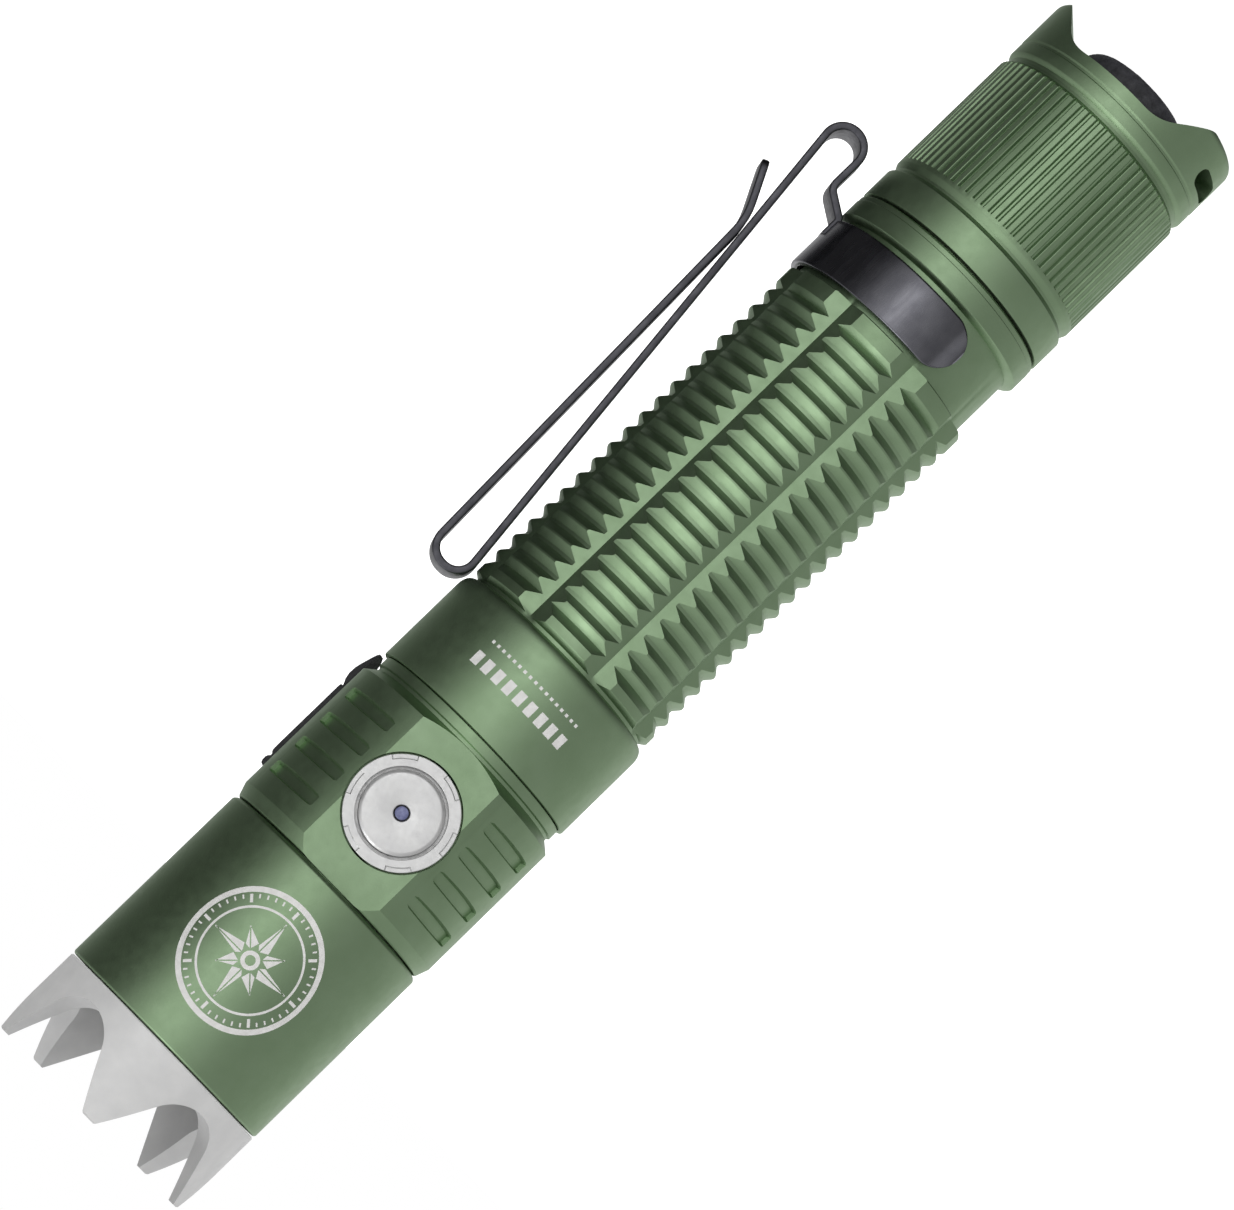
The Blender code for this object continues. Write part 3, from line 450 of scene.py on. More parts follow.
def dress(obj, body, slot, *nodes, material=None):
    """Gives a finished piece its material, its body and the CAD nodes that it stands for."""
    paint(obj, material or FINISHES[slot])
    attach(obj, body)
    if nodes:
        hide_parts(*nodes)


# --- head


def strike_bezel():
    skirt_z = BEZEL_Z - 1.65 * MM
    edge = 0.15 * MM
    outline = [
        (BEZEL_R - edge, TIP_Z), (BEZEL_R, TIP_Z - edge), (BEZEL_R, BEZEL_Z + edge),
        (BEZEL_R - edge, BEZEL_Z), (BEZEL_SKIRT_R, BEZEL_Z), (BEZEL_SKIRT_R, skirt_z),
        (BEZEL_BORE_R, skirt_z), (BEZEL_BORE_R, TIP_Z - 7.4 * MM), (BEZEL_R - 0.95 * MM, TIP_Z),
    ]
    bezel = turned("bezel", outline, 180)
    scallop_r, depth, flank = 4.66 * MM, 8.3 * MM, radians(27)
    centre_y = scallop_r - depth
    steps = 28
    arc = [-flank - (pi - 2 * flank) * step / steps for step in range(steps + 1)]
    bottom = [(scallop_r * cos(turn), centre_y + scallop_r * sin(turn)) for turn in arc]
    edge_x, edge_y = bottom[0]
    top_x = edge_x + (MM - edge_y) * tan(flank)
    scallop = [(top_x, MM)] + bottom + [(-top_x, MM)]
    bm = bmesh.new()
    for index in range(TEETH):
        extrude(bm, scallop, 7 * MM, 16 * MM, facing(tau * (index + 0.5) / TEETH, 0, TIP_Z))
    cut(bezel, add_mesh("bezel_scallops", bm))
    soften(bezel, 0.22 * MM, 38, 3)
    dress(settle(bezel), "body", "blasted_steel", "strike_bezel")


def optics():
    lens_top, lens_low, lens_r, edge = 140.9 * MM, 138.9 * MM, 11.5 * MM, 0.25 * MM
    outline = [
        (0, lens_top), (lens_r - edge, lens_top), (lens_r, lens_top - edge),
        (lens_r, lens_low + edge), (lens_r - edge, lens_low), (0, lens_low),
    ]
    lens = turned("front_lens", outline, 96)
    dress(lens, "body", "clear_glass", "lens")
    low, bore = lens_top + GAP, BEZEL_BORE_R + 0.1 * MM
    high = low + 0.8 * MM
    section = [(BEZEL_SKIRT_R, high), (BEZEL_SKIRT_R, low), (bore, low), (bore, high)]
    gasket = turned("lens_gasket", eased(section, 0.25 * MM), 96)
    dress(gasket, "body", "black_rubber", "bezel_gasket")
    top, depth, wall, hole_r = 138.6 * MM, 15.5 * MM, 0.8 * MM, 3.0 * MM
    focal = BEZEL_BORE_R**2 / (4 * depth)
    vertex_z = top - depth
    bottom = vertex_z + hole_r**2 / (4 * focal)
    levels = [bottom + (top - bottom) * (step / 30) ** 1.6 for step in range(31)]
    inner = [(sqrt(4 * focal * (level - vertex_z)), level) for level in levels]
    flange_z = top - 0.8 * MM
    outer = [(radius + wall, level) for radius, level in inner if level < flange_z]
    rim_r = sqrt(4 * focal * (flange_z - vertex_z)) + wall
    outline = [(lens_r, top), (lens_r, flange_z), (rim_r, flange_z)] + outer[::-1] + inner
    bowl = turned("bowl", outline, 128)
    dress(bowl, "body", "mirror", "reflector")
    chip_low = 123.6 * MM
    chip_high = chip_low + 0.6 * MM
    chip = prism("emitter", rectangle(3.5 * MM, 3.5 * MM), chip_low, chip_high)
    dome_r = 1.5 * MM
    turns = [pi / 2 * (1 - step / 12) for step in range(13)]
    dome = [(dome_r * cos(turn), chip_high + dome_r * sin(turn)) for turn in turns]
    dome[0] = (0, chip_high + dome_r)
    sunk = chip_high - 0.2 * MM
    cut(chip, turned("dome", dome + [(dome_r, sunk), (0, sunk)], 48), operation="UNION")
    dress(settle(chip), "body", "emitter_yellow", "led_emitter")


def head_shell():
    skirt_r, shelf_z = THREAD_BORE_R - GAP, 121.6 * MM
    groove_r, groove_high, groove_low = skirt_r - 0.8 * MM, 118.9 * MM, 117.7 * MM
    hollow_r, hollow_z, skirt_z = skirt_r - 1.8 * MM, 118.6 * MM, 116.9 * MM
    top, edge = BEZEL_Z - 0.12 * MM, 0.22 * MM
    outline = [
        (0, shelf_z), (HEAD_BORE_R, shelf_z), (HEAD_BORE_R, top), (HEAD_R - edge, top),
        (HEAD_R, top - edge), (HEAD_R, HEAD_Z + 1.6 * edge), (HEAD_R - 1.6 * edge, HEAD_Z),
        (skirt_r, HEAD_Z), (skirt_r, groove_high), (groove_r, groove_high), (groove_r, groove_low),
        (skirt_r, groove_low), (skirt_r, skirt_z), (hollow_r, skirt_z), (hollow_r, hollow_z),
        (0, hollow_z),
    ]
    shell = turned("barrel", eased(outline, 0.16 * MM, 3, {3, 4, 5, 6}), 180)
    bm = bmesh.new()
    wire_x, wire_y = -6.0 * MM, 1.6 * MM
    for side in (-1, 1):
        hole = [(x + wire_x, y + side * wire_y) for x, y in circle(1.2 * MM, 24)]
        extrude(bm, hole, 117 * MM, 123 * MM)
    cut(shell, add_mesh("wire_holes", bm))
    dress(settle(shell), "body", "green_anodised", "head_shell")


def on_barrel(radius, across, up, centre_z):
    """Point on the barrel at a distance round it and a height from the mark's centre."""
    return outward(across / radius) * radius + UP * (centre_z + up)


def add_mark(bm, outline, radius, centre_z, proud=MARK_HEIGHT):
    """Thin etched patch that follows the barrel, from a convex or star-shaped flat outline."""
    rings = [
        [on_barrel(radius + rise, across, up, centre_z) for across, up in outline]
        for rise in (-proud, proud)
    ]
    add_rings(bm, rings)


def add_mark_ring(bm, inner, outer, radius, centre_z, steps, proud=MARK_HEIGHT):
    rings = []
    for step in range(steps):
        turn = tau * step / steps
        section = []
        for reach, rise in ((inner, -proud), (outer, -proud), (outer, proud), (inner, proud)):
            across, up = reach * sin(turn), reach * cos(turn)
            section.append(outward(across / radius) * (radius + rise) + UP * (centre_z + up))
        rings.append(section)
    add_rings(bm, rings, closed=True)


def spoke(turn):
    """Unit vectors of a flat mark: outwards at that angle from the top, and across."""
    return Vector((sin(turn), cos(turn))), Vector((cos(turn), -sin(turn)))


def etched_marks():
    """A plain compass rosette on the barrel and plain index blocks on the collar."""
    centre_z = 131.9 * MM
    bm = bmesh.new()
    for inner, outer, steps in ((7.0, 7.6, 120), (5.35, 5.6, 120), (0.55, 1.0, 48)):
        add_mark_ring(bm, inner * MM, outer * MM, HEAD_R, centre_z, steps)
    ticks, points = 48, 8
    for index in range(ticks):
        turn = tau * index / ticks
        low = (5.9 if index % 6 == 0 else 6.35) * MM
        half = (0.16 if index % 6 == 0 else 0.09) * MM
        out, side = spoke(turn)
        side *= half
        corners = [out * low - side, out * low + side, out * 6.8 * MM + side, out * 6.8 * MM - side]
        add_mark(bm, corners, HEAD_R, centre_z)
    for index in range(points):
        turn = tau * index / points
        reach = (5.1 if index % 2 == 0 else 3.5) * MM
        for hand, share in ((1, 1.0), (-1, 0.55)):
            out, side = spoke(turn)
            side *= hand
            root = out * 1.25 * MM
            waist = (out * 1.7 + side * 0.85 * share) * MM
            steps = 8
            shares = [step / steps for step in range(steps + 1)]
            lane = [out * reach * (1 - t) + root * t + side * 0.07 * MM for t in shares]
            flank = [out * reach * (1 - t) + waist * t for t in shares]
            for step in range(steps):
                patch = [lane[step], lane[step + 1], flank[step + 1], flank[step]]
                add_mark(bm, patch, HEAD_R, centre_z)
    rosette = add_mesh("rosette", bm)
    dress(rosette, "body", "stainless", material=ETCHED)
    bm = bmesh.new()
    blocks_z = 93.0 * MM
    for count, pitch, wide, tall, up in ((9, 1.55, 0.95, 1.5, 1.0), (17, 0.775, 0.35, 0.35, -1.3)):
        for index in range(count):
            across = (index - count // 2) * pitch * MM
            add_mark(bm, rectangle(wide * MM, tall * MM, across, up * MM), COLLAR_R, blocks_z)
    blocks = add_mesh("index_blocks", bm)
    dress(blocks, "body", "stainless", material=ETCHED)


# --- switch housing

FLAT_DEPTH = 12.36 * MM
CONE_Z = 119.05 * MM
CONE_R = 13.05 * MM
HOUSING_END_Z = 102.2 * MM
BUTTON_Z = 110.63 * MM
PORT_ANGLE = radians(110)
PORT_Z = 110.5 * MM
COVER_HINGE_Z = 115.1 * MM
STEM_Z = COVER_HINGE_Z + 0.75 * MM
COVER_HALF_ARC = radians(16.5)
COVER_END_Z = 104.75 * MM
COVER_FLOOR = 12.75 * MM
RING_R = 6.05 * MM
SLOT_ANGLE = radians(50.5)
SLOT_HALF_ARC = radians(19.5)
SLOT_DEPTH = 0.75 * MM


def add_slot(bm, level, angle):
    """Cutter of one milled slot: its walls slope, it is deepest in the middle and its ends are rounded."""
    rings = []
    steps = 22
    for step in range(steps + 1):
        share = 2 * step / steps - 1
        turn = angle + SLOT_HALF_ARC * share
        depth = SLOT_DEPTH * (0.7 + 0.3 * (1 - share**2))
        narrow = 1 - 0.14 * share**2 - max(0, abs(share) - 0.93) ** 2 * 40
        floor_half, rim_half = 0.62 * MM * narrow, 0.84 * MM * narrow
        above = 0.5 * MM
        spread = (rim_half - floor_half) / depth * above
        low, high, wide = HOUSING_R - depth, HOUSING_R + above, rim_half + spread
        section = ((-floor_half, low), (floor_half, low), (wide, high), (-wide, high))
        rings.append([outward(turn) * radius + UP * (level + rise) for rise, radius in section])
    add_rings(bm, rings)


def switch_housing():
    top = HEAD_Z - 0.16 * MM
    end_z = HOUSING_END_Z - 1.0 * MM
    stub_r, stub_z, ledge_z, room_z = 11.5 * MM, 92.0 * MM, 105.6 * MM, 116.6 * MM
    hole_r, room_r, ledge_high = 9.4 * MM, 10.3 * MM, ledge_z + 1.2 * MM
    outline = [
        (THREAD_BORE_R, top), (12.8 * MM, top), (12.93 * MM, top - 0.05 * MM),
        (CONE_R, top - 0.2 * MM), (HOUSING_R, CONE_Z), (HOUSING_R, HOUSING_END_Z),
        (NECK_R - 0.25 * MM, end_z), (NECK_R - 0.25 * MM, end_z - 0.35 * MM),
        (NECK_R, end_z - 0.5 * MM), (NECK_R, NECK_Z + 0.08 * MM), (NECK_R - 0.1 * MM, NECK_Z),
        (stub_r, NECK_Z), (stub_r, stub_z), (CELL_BORE_R, stub_z), (CELL_BORE_R, ledge_z),
        (hole_r, ledge_z), (hole_r, ledge_high), (room_r, ledge_high), (room_r, room_z),
        (THREAD_BORE_R, room_z),
    ]
    housing = turned("housing", outline, 180)
    low, high = HOUSING_END_Z - 0.95 * MM, HEAD_Z + MM
    beyond = 15 * MM
    button = facing(0, 0, BUTTON_Z)
    port = facing(PORT_ANGLE, 0, PORT_Z)
    stem = facing(PORT_ANGLE, 0, STEM_Z)
    cuts = (
        (facing(0, 0, (low + high) / 2), rectangle(16 * MM, high - low), FLAT_DEPTH, beyond),
        (button, circle(RING_R + 0.2 * MM, 96), 10.8 * MM, beyond + MM),
        (button, circle(4.9 * MM, 72), 8 * MM, 11.5 * MM),
        (port, stadium(9.4 * MM, 3.8 * MM), 8 * MM, 13 * MM),
        (stem, circle(1.1 * MM, 24), 9 * MM, 13.2 * MM),
    )
    bm = bmesh.new()
    for place, shape, start, end in cuts:
        extrude(bm, shape, start, end, place)
    cut(housing, add_mesh("housing_holes", bm), overlapping=True)
    bm = bmesh.new()
    slot_count, slot_pitch = 4, 3.57 * MM
    for side in (-1, 1):
        for index in range(slot_count):
            add_slot(bm, BUTTON_Z + slot_pitch * (index - 1.5), side * SLOT_ANGLE)
    floor, beyond, half = COVER_FLOOR - GAP, HOUSING_R + MM, COVER_HALF_ARC + radians(2)
    levels = (COVER_END_Z - GAP, COVER_HINGE_Z + 1.7 * MM)
    add_rings(bm, [arc_section(floor, beyond, half, level, PORT_ANGLE, 16) for level in levels])
    cut(housing, add_mesh("housing_recesses", bm))
    soften(housing, 0.07 * MM, 32, harden=False)
    settle(housing).data.set_sharp_from_angle(angle=radians(14))
    dress(housing, "body", "green_anodised", "switch_housing")


def side_button():
    place = facing(0, 0, BUTTON_Z)
    face, bore = 12.56 * MM, 4.75 * MM
    section = [(bore, face), (RING_R, face), (RING_R, 11.8 * MM), (bore, 11.8 * MM)]
    ring = turned("button_ring", section, 120)
    notches, notch_r, beyond_r, half_notch = 6, 5.55 * MM, 6.6 * MM, radians(13)
    bm = bmesh.new()
    for index in range(notches):
        middle = tau * index / notches + radians(12)
        turns = [middle + half_notch * (step / 4 - 1) for step in range(9)]
        inner = [(notch_r * cos(turn), notch_r * sin(turn)) for turn in turns]
        outer = [(beyond_r * cos(turn), beyond_r * sin(turn)) for turn in turns]
        extrude(bm, inner + outer[::-1], face - 0.25 * MM, face + MM)
    cut(ring, add_mesh("ring_notches", bm))
    soften(ring, 0.08 * MM)
    ring = settle(ring)
    ring.data.transform(place)
    dress(ring, "body", "stainless", "side_button_ring")
    button_r, light_r, top = 4.45 * MM, 0.86 * MM, 12.66 * MM
    section = [
        (light_r, top), (button_r - 0.36 * MM, top), (button_r - 0.06 * MM, top - 0.2 * MM),
        (button_r, top - 0.34 * MM), (button_r, 11.5 * MM), (5.4 * MM, 11.5 * MM),
        (5.4 * MM, 11.25 * MM), (button_r, 11.25 * MM), (button_r, 10.9 * MM),
        (1.8 * MM, 10.9 * MM), (1.8 * MM, 9.9 * MM), (light_r, 9.9 * MM),
    ]
    button = turned("button", eased(section, 0.15 * MM, 3, {0, 1, 2}), 120, place)
    dress(button, "side_button", "stainless", "side_button")
    top = 12.5 * MM
    dome = [(0, top + 0.06 * MM), (0.3 * MM, top + 0.04 * MM), (0.55 * MM, top)]
    stick = [(0.7 * MM, top - 0.1 * MM), (0.7 * MM, 10.2 * MM), (0, 10.2 * MM)]
    pipe = turned("indicator", dome + stick, 48, place)
    dress(pipe, "side_button", "indicator_blue", "side_indicator")
    high, low = top - 0.25 * MM, 10.3 * MM
    sleeve = [(0.85 * MM, high), (0.85 * MM, low), (0.71 * MM, low), (0.71 * MM, high)]
    seal = turned("indicator_seal", sleeve, 48, place)
    dress(seal, "side_button", "black_rubber")


def port_cover():
    """One rubber moulding: the anchored end, the thin strap at the hinge, the flap and its pull tab."""
    hinge_z, arc = COVER_HINGE_Z, COVER_HALF_ARC
    # Strap rows: height from the hinge, outer radius, degrees added to the half arc.
    strap = (
        (1.4, 13.75, -2.5), (1.3, 13.98, -1), (1.05, 14.08, 0), (0.55, 14.1, 0), (0.3, 14.0, 0),
        (0.15, 13.85, 0), (0, 13.8, 0), (-0.15, 13.85, 0), (-0.3, 14.0, 0), (-0.55, 14.08, 0),
    )
    # Pull tab rows: height, inner radius, outer radius, half arc in degrees.
    tab = (
        (104.65, 13.62, 14.15, 8.6), (104.25, 13.78, 14.34, 8), (104.0, 13.84, 14.5, 8),
        (103.2, 13.95, 14.68, 8), (102.4, 13.98, 14.66, 7.8), (101.7, 13.97, 14.56, 7.2),
        (101.0, 13.94, 14.44, 6.2), (100.3, 13.92, 14.34, 4.8), (99.8, 13.93, 14.27, 3.4),
        (99.5, 13.97, 14.2, 2),
    )
    rows = [(hinge_z + z * MM, COVER_FLOOR, high * MM, arc + radians(more)) for z, high, more in strap]
    flap_high, flap_low = hinge_z - 0.55 * MM, COVER_END_Z + 0.3 * MM
    for step in range(1, 9):
        rows.append((flap_high + (flap_low - flap_high) * step / 8, COVER_FLOOR, 14.1 * MM, arc))
    rows += [
        (COVER_END_Z + 0.1 * MM, COVER_FLOOR + 0.1 * MM, 14.08 * MM, arc - radians(1)),
        (COVER_END_Z, COVER_FLOOR + 0.35 * MM, 14.08 * MM, arc - radians(3)),
    ]
    rows += [(z * MM, low * MM, high * MM, radians(half)) for z, low, high, half in tab]
    cover = skin("port_flap", [cover_section(*row) for row in rows], sharp=50)
    place = facing(PORT_ANGLE, 0, PORT_Z)
    plug = [(x, y + 0.05 * MM) for x, y in stadium(6.9 * MM, 1.9 * MM)]
    root = COVER_FLOOR + 0.4 * MM
    cut(cover, prism("cover_plug", plug, 11.3 * MM, root, place), operation="UNION")
    stem = prism("cover_stem", circle(0.7 * MM, 24), 10.6 * MM, root, facing(PORT_ANGLE, 0, STEM_Z))
    cut(cover, stem, operation="UNION")
    settle(cover)
    paint(cover, FINISHES["black_rubber"])
    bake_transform(cover)
    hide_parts("usb_cover", "usb_cover_anchor")


def cover_section(height, low, high, half):
    """Section of the port cover at one height: a curved bar with eased outer corners."""
    up = UP * height
    turns = [PORT_ANGLE + half * (step / 6 - 1) for step in range(13)]
    ease = 0.25 * MM
    tip = ease / high
    corner = ((0, 1), (0.3, 0.3), (1, 0))
    ring = [outward(turn) * low + up for turn in turns]
    ring += [outward(turns[-1] - tip * way) * (high - ease * sunk) + up for way, sunk in corner]
    ring += [outward(turn) * high + up for turn in turns[-2:0:-1]]
    ring += [outward(turns[0] + tip * way) * (high - ease * sunk) + up for way, sunk in corner[::-1]]
    return ring


# --- tube

RIDGE_COUNT = 18
RIDGE_PITCH = 2.316 * MM
FIRST_RIDGE_Z = 44.21 * MM
GROOVE_COUNT = 8
GROOVE_ANGLE = radians(27)
GROOVE_FLOOR_R = 11.7 * MM
BAND_HIGH_Z = 40.5 * MM
GRIP_HIGH_Z = 87.3 * MM
THREAD_PITCH = 1.5 * MM


def groove_edge(radius):
    """Half angle at which the V-shaped lengthwise groove leaves a ring of that radius."""
    half = radians(9.5)
    rise = (RIDGE_R * cos(half) - GROOVE_FLOOR_R) / (RIDGE_R * sin(half))
    a = 1 + rise * rise
    b = GROOVE_FLOOR_R * rise
    c = GROOVE_FLOOR_R**2 - radius**2
    across = (-b + sqrt(max(b * b - a * c, 0))) / a
    return asin(min(across / radius, 1))


def grip_ring(radius, height, steps=12):
    """One ring of the tube's outside, cut by the lengthwise grooves along the grip."""
    sector = tau / GROOVE_COUNT
    grooved = BAND_HIGH_Z - 0.05 * MM < height < GRIP_HIGH_Z and radius > GROOVE_FLOOR_R
    edge = groove_edge(radius) if grooved else radians(3)
    up = UP * height
    ring = []
    for index in range(GROOVE_COUNT):
        middle = GROOVE_ANGLE + index * sector
        floor = GROOVE_FLOOR_R if grooved else radius
        ring.append(outward(middle) * floor + up)
        for step in range(steps + 1):
            turn = middle + edge + (sector - 2 * edge) * step / steps
            ring.append(outward(turn) * radius + up)
    return ring


def body_tube():
    stub_bore, seal_r, male_r = 11.8 * MM, 12.5 * MM, 11.4 * MM
    root_r = male_r - 0.45 * MM
    top = NECK_Z - 0.1 * MM
    last_ridge = FIRST_RIDGE_Z + (RIDGE_COUNT - 1) * RIDGE_PITCH
    crest, foot = 0.15 * MM, RIDGE_PITCH / 2 - 0.25 * MM
    ridges = []
    for index in range(RIDGE_COUNT):
        middle = last_ridge - index * RIDGE_PITCH
        ridges += [
            (VALLEY_R + 0.04 * MM, middle + foot - 0.03 * MM),
            (RIDGE_R - 0.05 * MM, middle + crest + 0.04 * MM),
            (RIDGE_R, middle + crest * 0.6), (RIDGE_R, middle - crest * 0.6),
            (RIDGE_R - 0.05 * MM, middle - crest - 0.04 * MM),
            (VALLEY_R + 0.04 * MM, middle - foot + 0.03 * MM),
            (VALLEY_R, middle - foot - 0.06 * MM),
            (VALLEY_R, middle - RIDGE_PITCH + foot + 0.06 * MM),
        ]
    ridges = [(VALLEY_R, last_ridge + foot + 0.06 * MM)] + ridges[:-1]
    thread = [(male_r, 28.6 * MM)]
    for index in range(3):
        start = 28.2 * MM - index * THREAD_PITCH
        thread += [(root_r, start), (root_r, start - 0.45 * MM)]
        thread += [(male_r, start - 0.8 * MM), (male_r, start - 1.1 * MM)]
    collar_end = [
        (COLLAR_R - 0.75 * MM * (1 - cos(turn)), COLLAR_END_Z + 1.4 * MM * (1 - sin(turn)))
        for turn in quarter(6)
    ]
    outline = [
        (seal_r, top), (COLLAR_R - 0.14 * MM, top), (COLLAR_R - 0.04 * MM, top - 0.04 * MM),
        (COLLAR_R, top - 0.14 * MM),
        *collar_end,
        (11.9 * MM, COLLAR_END_Z - 0.1 * MM), (11.9 * MM, 87.12 * MM),
        (RIDGE_R - 0.05 * MM, 86.62 * MM), (RIDGE_R, 86.55 * MM), (RIDGE_R, 85.55 * MM),
        (RIDGE_R - 0.05 * MM, 85.48 * MM),
        *ridges,
        (RIDGE_R - 0.06 * MM, 42.62 * MM), (RIDGE_R, 42.52 * MM),
        (RIDGE_R, BAND_HIGH_Z + 0.28 * MM), (RIDGE_R - 0.1 * MM, BAND_HIGH_Z + 0.16 * MM),
        (SEAT_R, BAND_HIGH_Z + 0.1 * MM), (SEAT_R, 33.15 * MM), (LIP_R - 0.12 * MM, 32.8 * MM),
        (LIP_R, 32.68 * MM), (LIP_R, 30.62 * MM), (LIP_R - 0.05 * MM, 30.55 * MM),
        (LIP_R - 0.05 * MM, 30.05 * MM), (LIP_R - 0.18 * MM, LIP_END_Z), (LIP_BORE_R, LIP_END_Z),
        (LIP_BORE_R, LIP_END_Z + MM), (male_r, LIP_END_Z + MM),
        *thread,
        (male_r - 0.3 * MM, TUBE_END_Z), (CELL_BORE_R, TUBE_END_Z), (CELL_BORE_R, 91.6 * MM),
        (stub_bore, 91.6 * MM), (stub_bore, 98.2 * MM), (seal_r, 98.2 * MM),
    ]
    tube = skin("tube", [grip_ring(radius, height) for radius, height in outline], True, 24)
    dress(tube, "body", "green_anodised", "body_tube")
    for name, radius, height, thick, node in (
        ("neck_seal", 12.0 * MM, 98.72 * MM, 0.8 * MM, "neck_o_ring"),
        ("tail_seal", 11.8 * MM, LIP_END_Z + 0.4 * MM, 0.7 * MM, "tail_o_ring"),
    ):
        section = [(radius + x, height - y) for x, y in circle(thick / 2, 20)]
        seal = turned(name, section, 120)
        dress(seal, "body", "black_rubber", node)


# --- clip

CLIP_THICK = 0.85 * MM
CLIP_WIDTH = 5.8 * MM
BAND_R = 12.15 * MM
BAND_LOW_Z = 33.87 * MM
BAND_TOP_Z = 40.1 * MM
BAND_HALF_ARC = radians(118)
LOOP_CENTRE = Vector((17.85, 0, 28.1)) * MM
BEND_CENTRE = Vector((15.62, 0, 86.6)) * MM
# Corners of the strip's centre line: radius, height and bend radius, in millimetres.
CLIP_CORNERS = (
    (12.6, 36.0, 0), (12.6, 33.8, 0.7), (15.63, 31.9, 1.3), (15.63, 25.85, 2.2), (20.35, 25.85, 2.2),
    (13.1, 88.85, 2.1), (17.82, 88.85, 2.2), (19.45, 40.7, 8.0), (22.0, 35.7, 0),
)


def bend_route():
    """Centre line of the clip's strip, with each corner rounded to its bend radius."""
    corners = [Vector((x * MM, 0, z * MM)) for x, z, _ in CLIP_CORNERS]
    radii = [radius * MM for _, _, radius in CLIP_CORNERS]
    route = [corners[0]]
    for before, corner, after, radius in zip(corners, corners[1:], corners[2:], radii[1:]):
        into = (before - corner).normalized()
        away = (after - corner).normalized()
        half = into.angle(away) / 2
        tangent = radius / tan(half)
        start = corner + into * tangent
        end = corner + away * tangent
        centre = corner + (into + away).normalized() * (radius / sin(half))
        sweep = pi - 2 * half
        steps = max(3, round(sweep / radians(7)))
        arm, goal = start - centre, end - centre
        for step in range(steps + 1):
            share = sweep * step / steps
            spoke = (arm * sin(sweep - share) + goal * sin(share)) / sin(sweep)
            route.append(centre + spoke)
    route.append(corners[-1])
    return route


def strip_section(width, thick, ease):
    """Rounded rectangle, wide in its first number."""
    ring = []
    for side, face, start in ((1, 1, 0), (-1, 1, 90), (-1, -1, 180), (1, -1, 270)):
        for step in range(4):
            turn = radians(start + 30 * step)
            across = side * (width / 2 - ease) + ease * cos(turn)
            deep = face * (thick / 2 - ease) + ease * sin(turn)
            ring.append((across, deep))
    return ring


def strip(name, route, tipped=False):
    """Flat bar of the clip's width that follows a route in the XZ plane, with its end rounded if tipped."""
    ease = 0.2 * MM
    rings = []
    for index, point in enumerate(route):
        ahead = route[min(index + 1, len(route) - 1)]
        behind = route[max(index - 1, 0)]
        along = (ahead - behind).normalized()
        normal = Vector((along.z, 0, -along.x))
        section = strip_section(CLIP_WIDTH, CLIP_THICK, ease)
        rings.append([point + Vector((0, across, 0)) + normal * deep for across, deep in section])
    if tipped:
        rings += [end_section(point, along, normal, section, step) for step in (4, 3, 2, 1, 0)]
    return skin(name, rings, sharp=40)


def end_section(point, along, normal, section, step):
    """One ring of the strip's rounded end; step 0 is the tip."""
    turn = radians(12 + 15 * step)
    reach = 1.1 * MM * cos(turn)
    narrow = 1.3 * MM * (1 - sin(turn))
    thin = 1 - 0.35 * max(0, 1 - step / 1.5)
    ring = []
    for across, deep in section:
        side = across - narrow * (1 if across > 0 else -1)
        ring.append(point + along * reach + Vector((0, side, 0)) + normal * deep * thin)
    return ring


def clip_band():
    """The ring that snaps round the tube: a flat band with rounded ends and eased edges."""
    rings = []
    steps = 150
    tall = BAND_TOP_Z - BAND_LOW_Z
    middle_z = (BAND_TOP_Z + BAND_LOW_Z) / 2
    corner = 2.7 * MM
    for step in range(steps + 1):
        share = sin(pi / 2 * (2 * step / steps - 1))
        turn = pi / 2 + BAND_HALF_ARC * share
        from_end = (1 - abs(share)) * BAND_HALF_ARC * (BAND_R + CLIP_THICK)
        gone = max(corner - from_end, 0)
        height = tall - 2 * (corner - sqrt(corner**2 - gone**2))
        height = max(height, tall * 0.12)
        # The band's tips flare outwards a little, with a thinner rim.
        thick = CLIP_THICK * (0.7 + 0.3 * min(1, from_end / (0.6 * MM)))
        flare = 0.75 * MM * max(0, 1 - from_end / (1.8 * MM)) ** 1.5
        ring = []
        for up, deep in strip_section(height, thick, 0.26 * MM):
            radius = BAND_R + CLIP_THICK - thick / 2 + deep + flare
            ring.append(outward(turn) * radius + UP * (middle_z + up))
        rings.append(ring)
    band = skin("clip_band", rings, sharp=40)
    dress(band, "clip_root", "black_steel", "clip_ring")


def near(route, centre, reach=2.9 * MM):
    return [index for index, point in enumerate(route) if (point - centre).length < reach]


def pocket_clip():
    clip_band()
    route = bend_route()
    # The strip is drawn in four lengths that meet flush: loop, inner arm, far bend, outer arm.
    loop_end = near(route, LOOP_CENTRE)[-1]
    bend_start, *_, bend_end = near(route, BEND_CENTRE)
    loop = strip("clip_loop", route[: loop_end + 1])
    paint(loop, SHEARED)
    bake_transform(loop)
    inner = strip("clip_inner_arm", route[loop_end : bend_start + 1])
    dress(inner, "clip_arm", "black_steel", "clip_arm", material=SHEARED)
    bend = strip("clip_far_bend", route[bend_start : bend_end + 1])
    paint(bend, SHEARED)
    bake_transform(bend)
    outer = strip("clip_outer_arm", route[bend_end:], tipped=True)
    dress(outer, "clip_tongue", "black_steel", "clip_tongue", material=SHEARED)


# --- tail

FLUTES = 72
FLUTE_FLOOR_R = 12.33 * MM
KNURL_LOW_Z, KNURL_HIGH_Z = 9.0 * MM, 24.0 * MM
CROWN_Z = 8.35 * MM
HORN_ANGLE = radians(105)


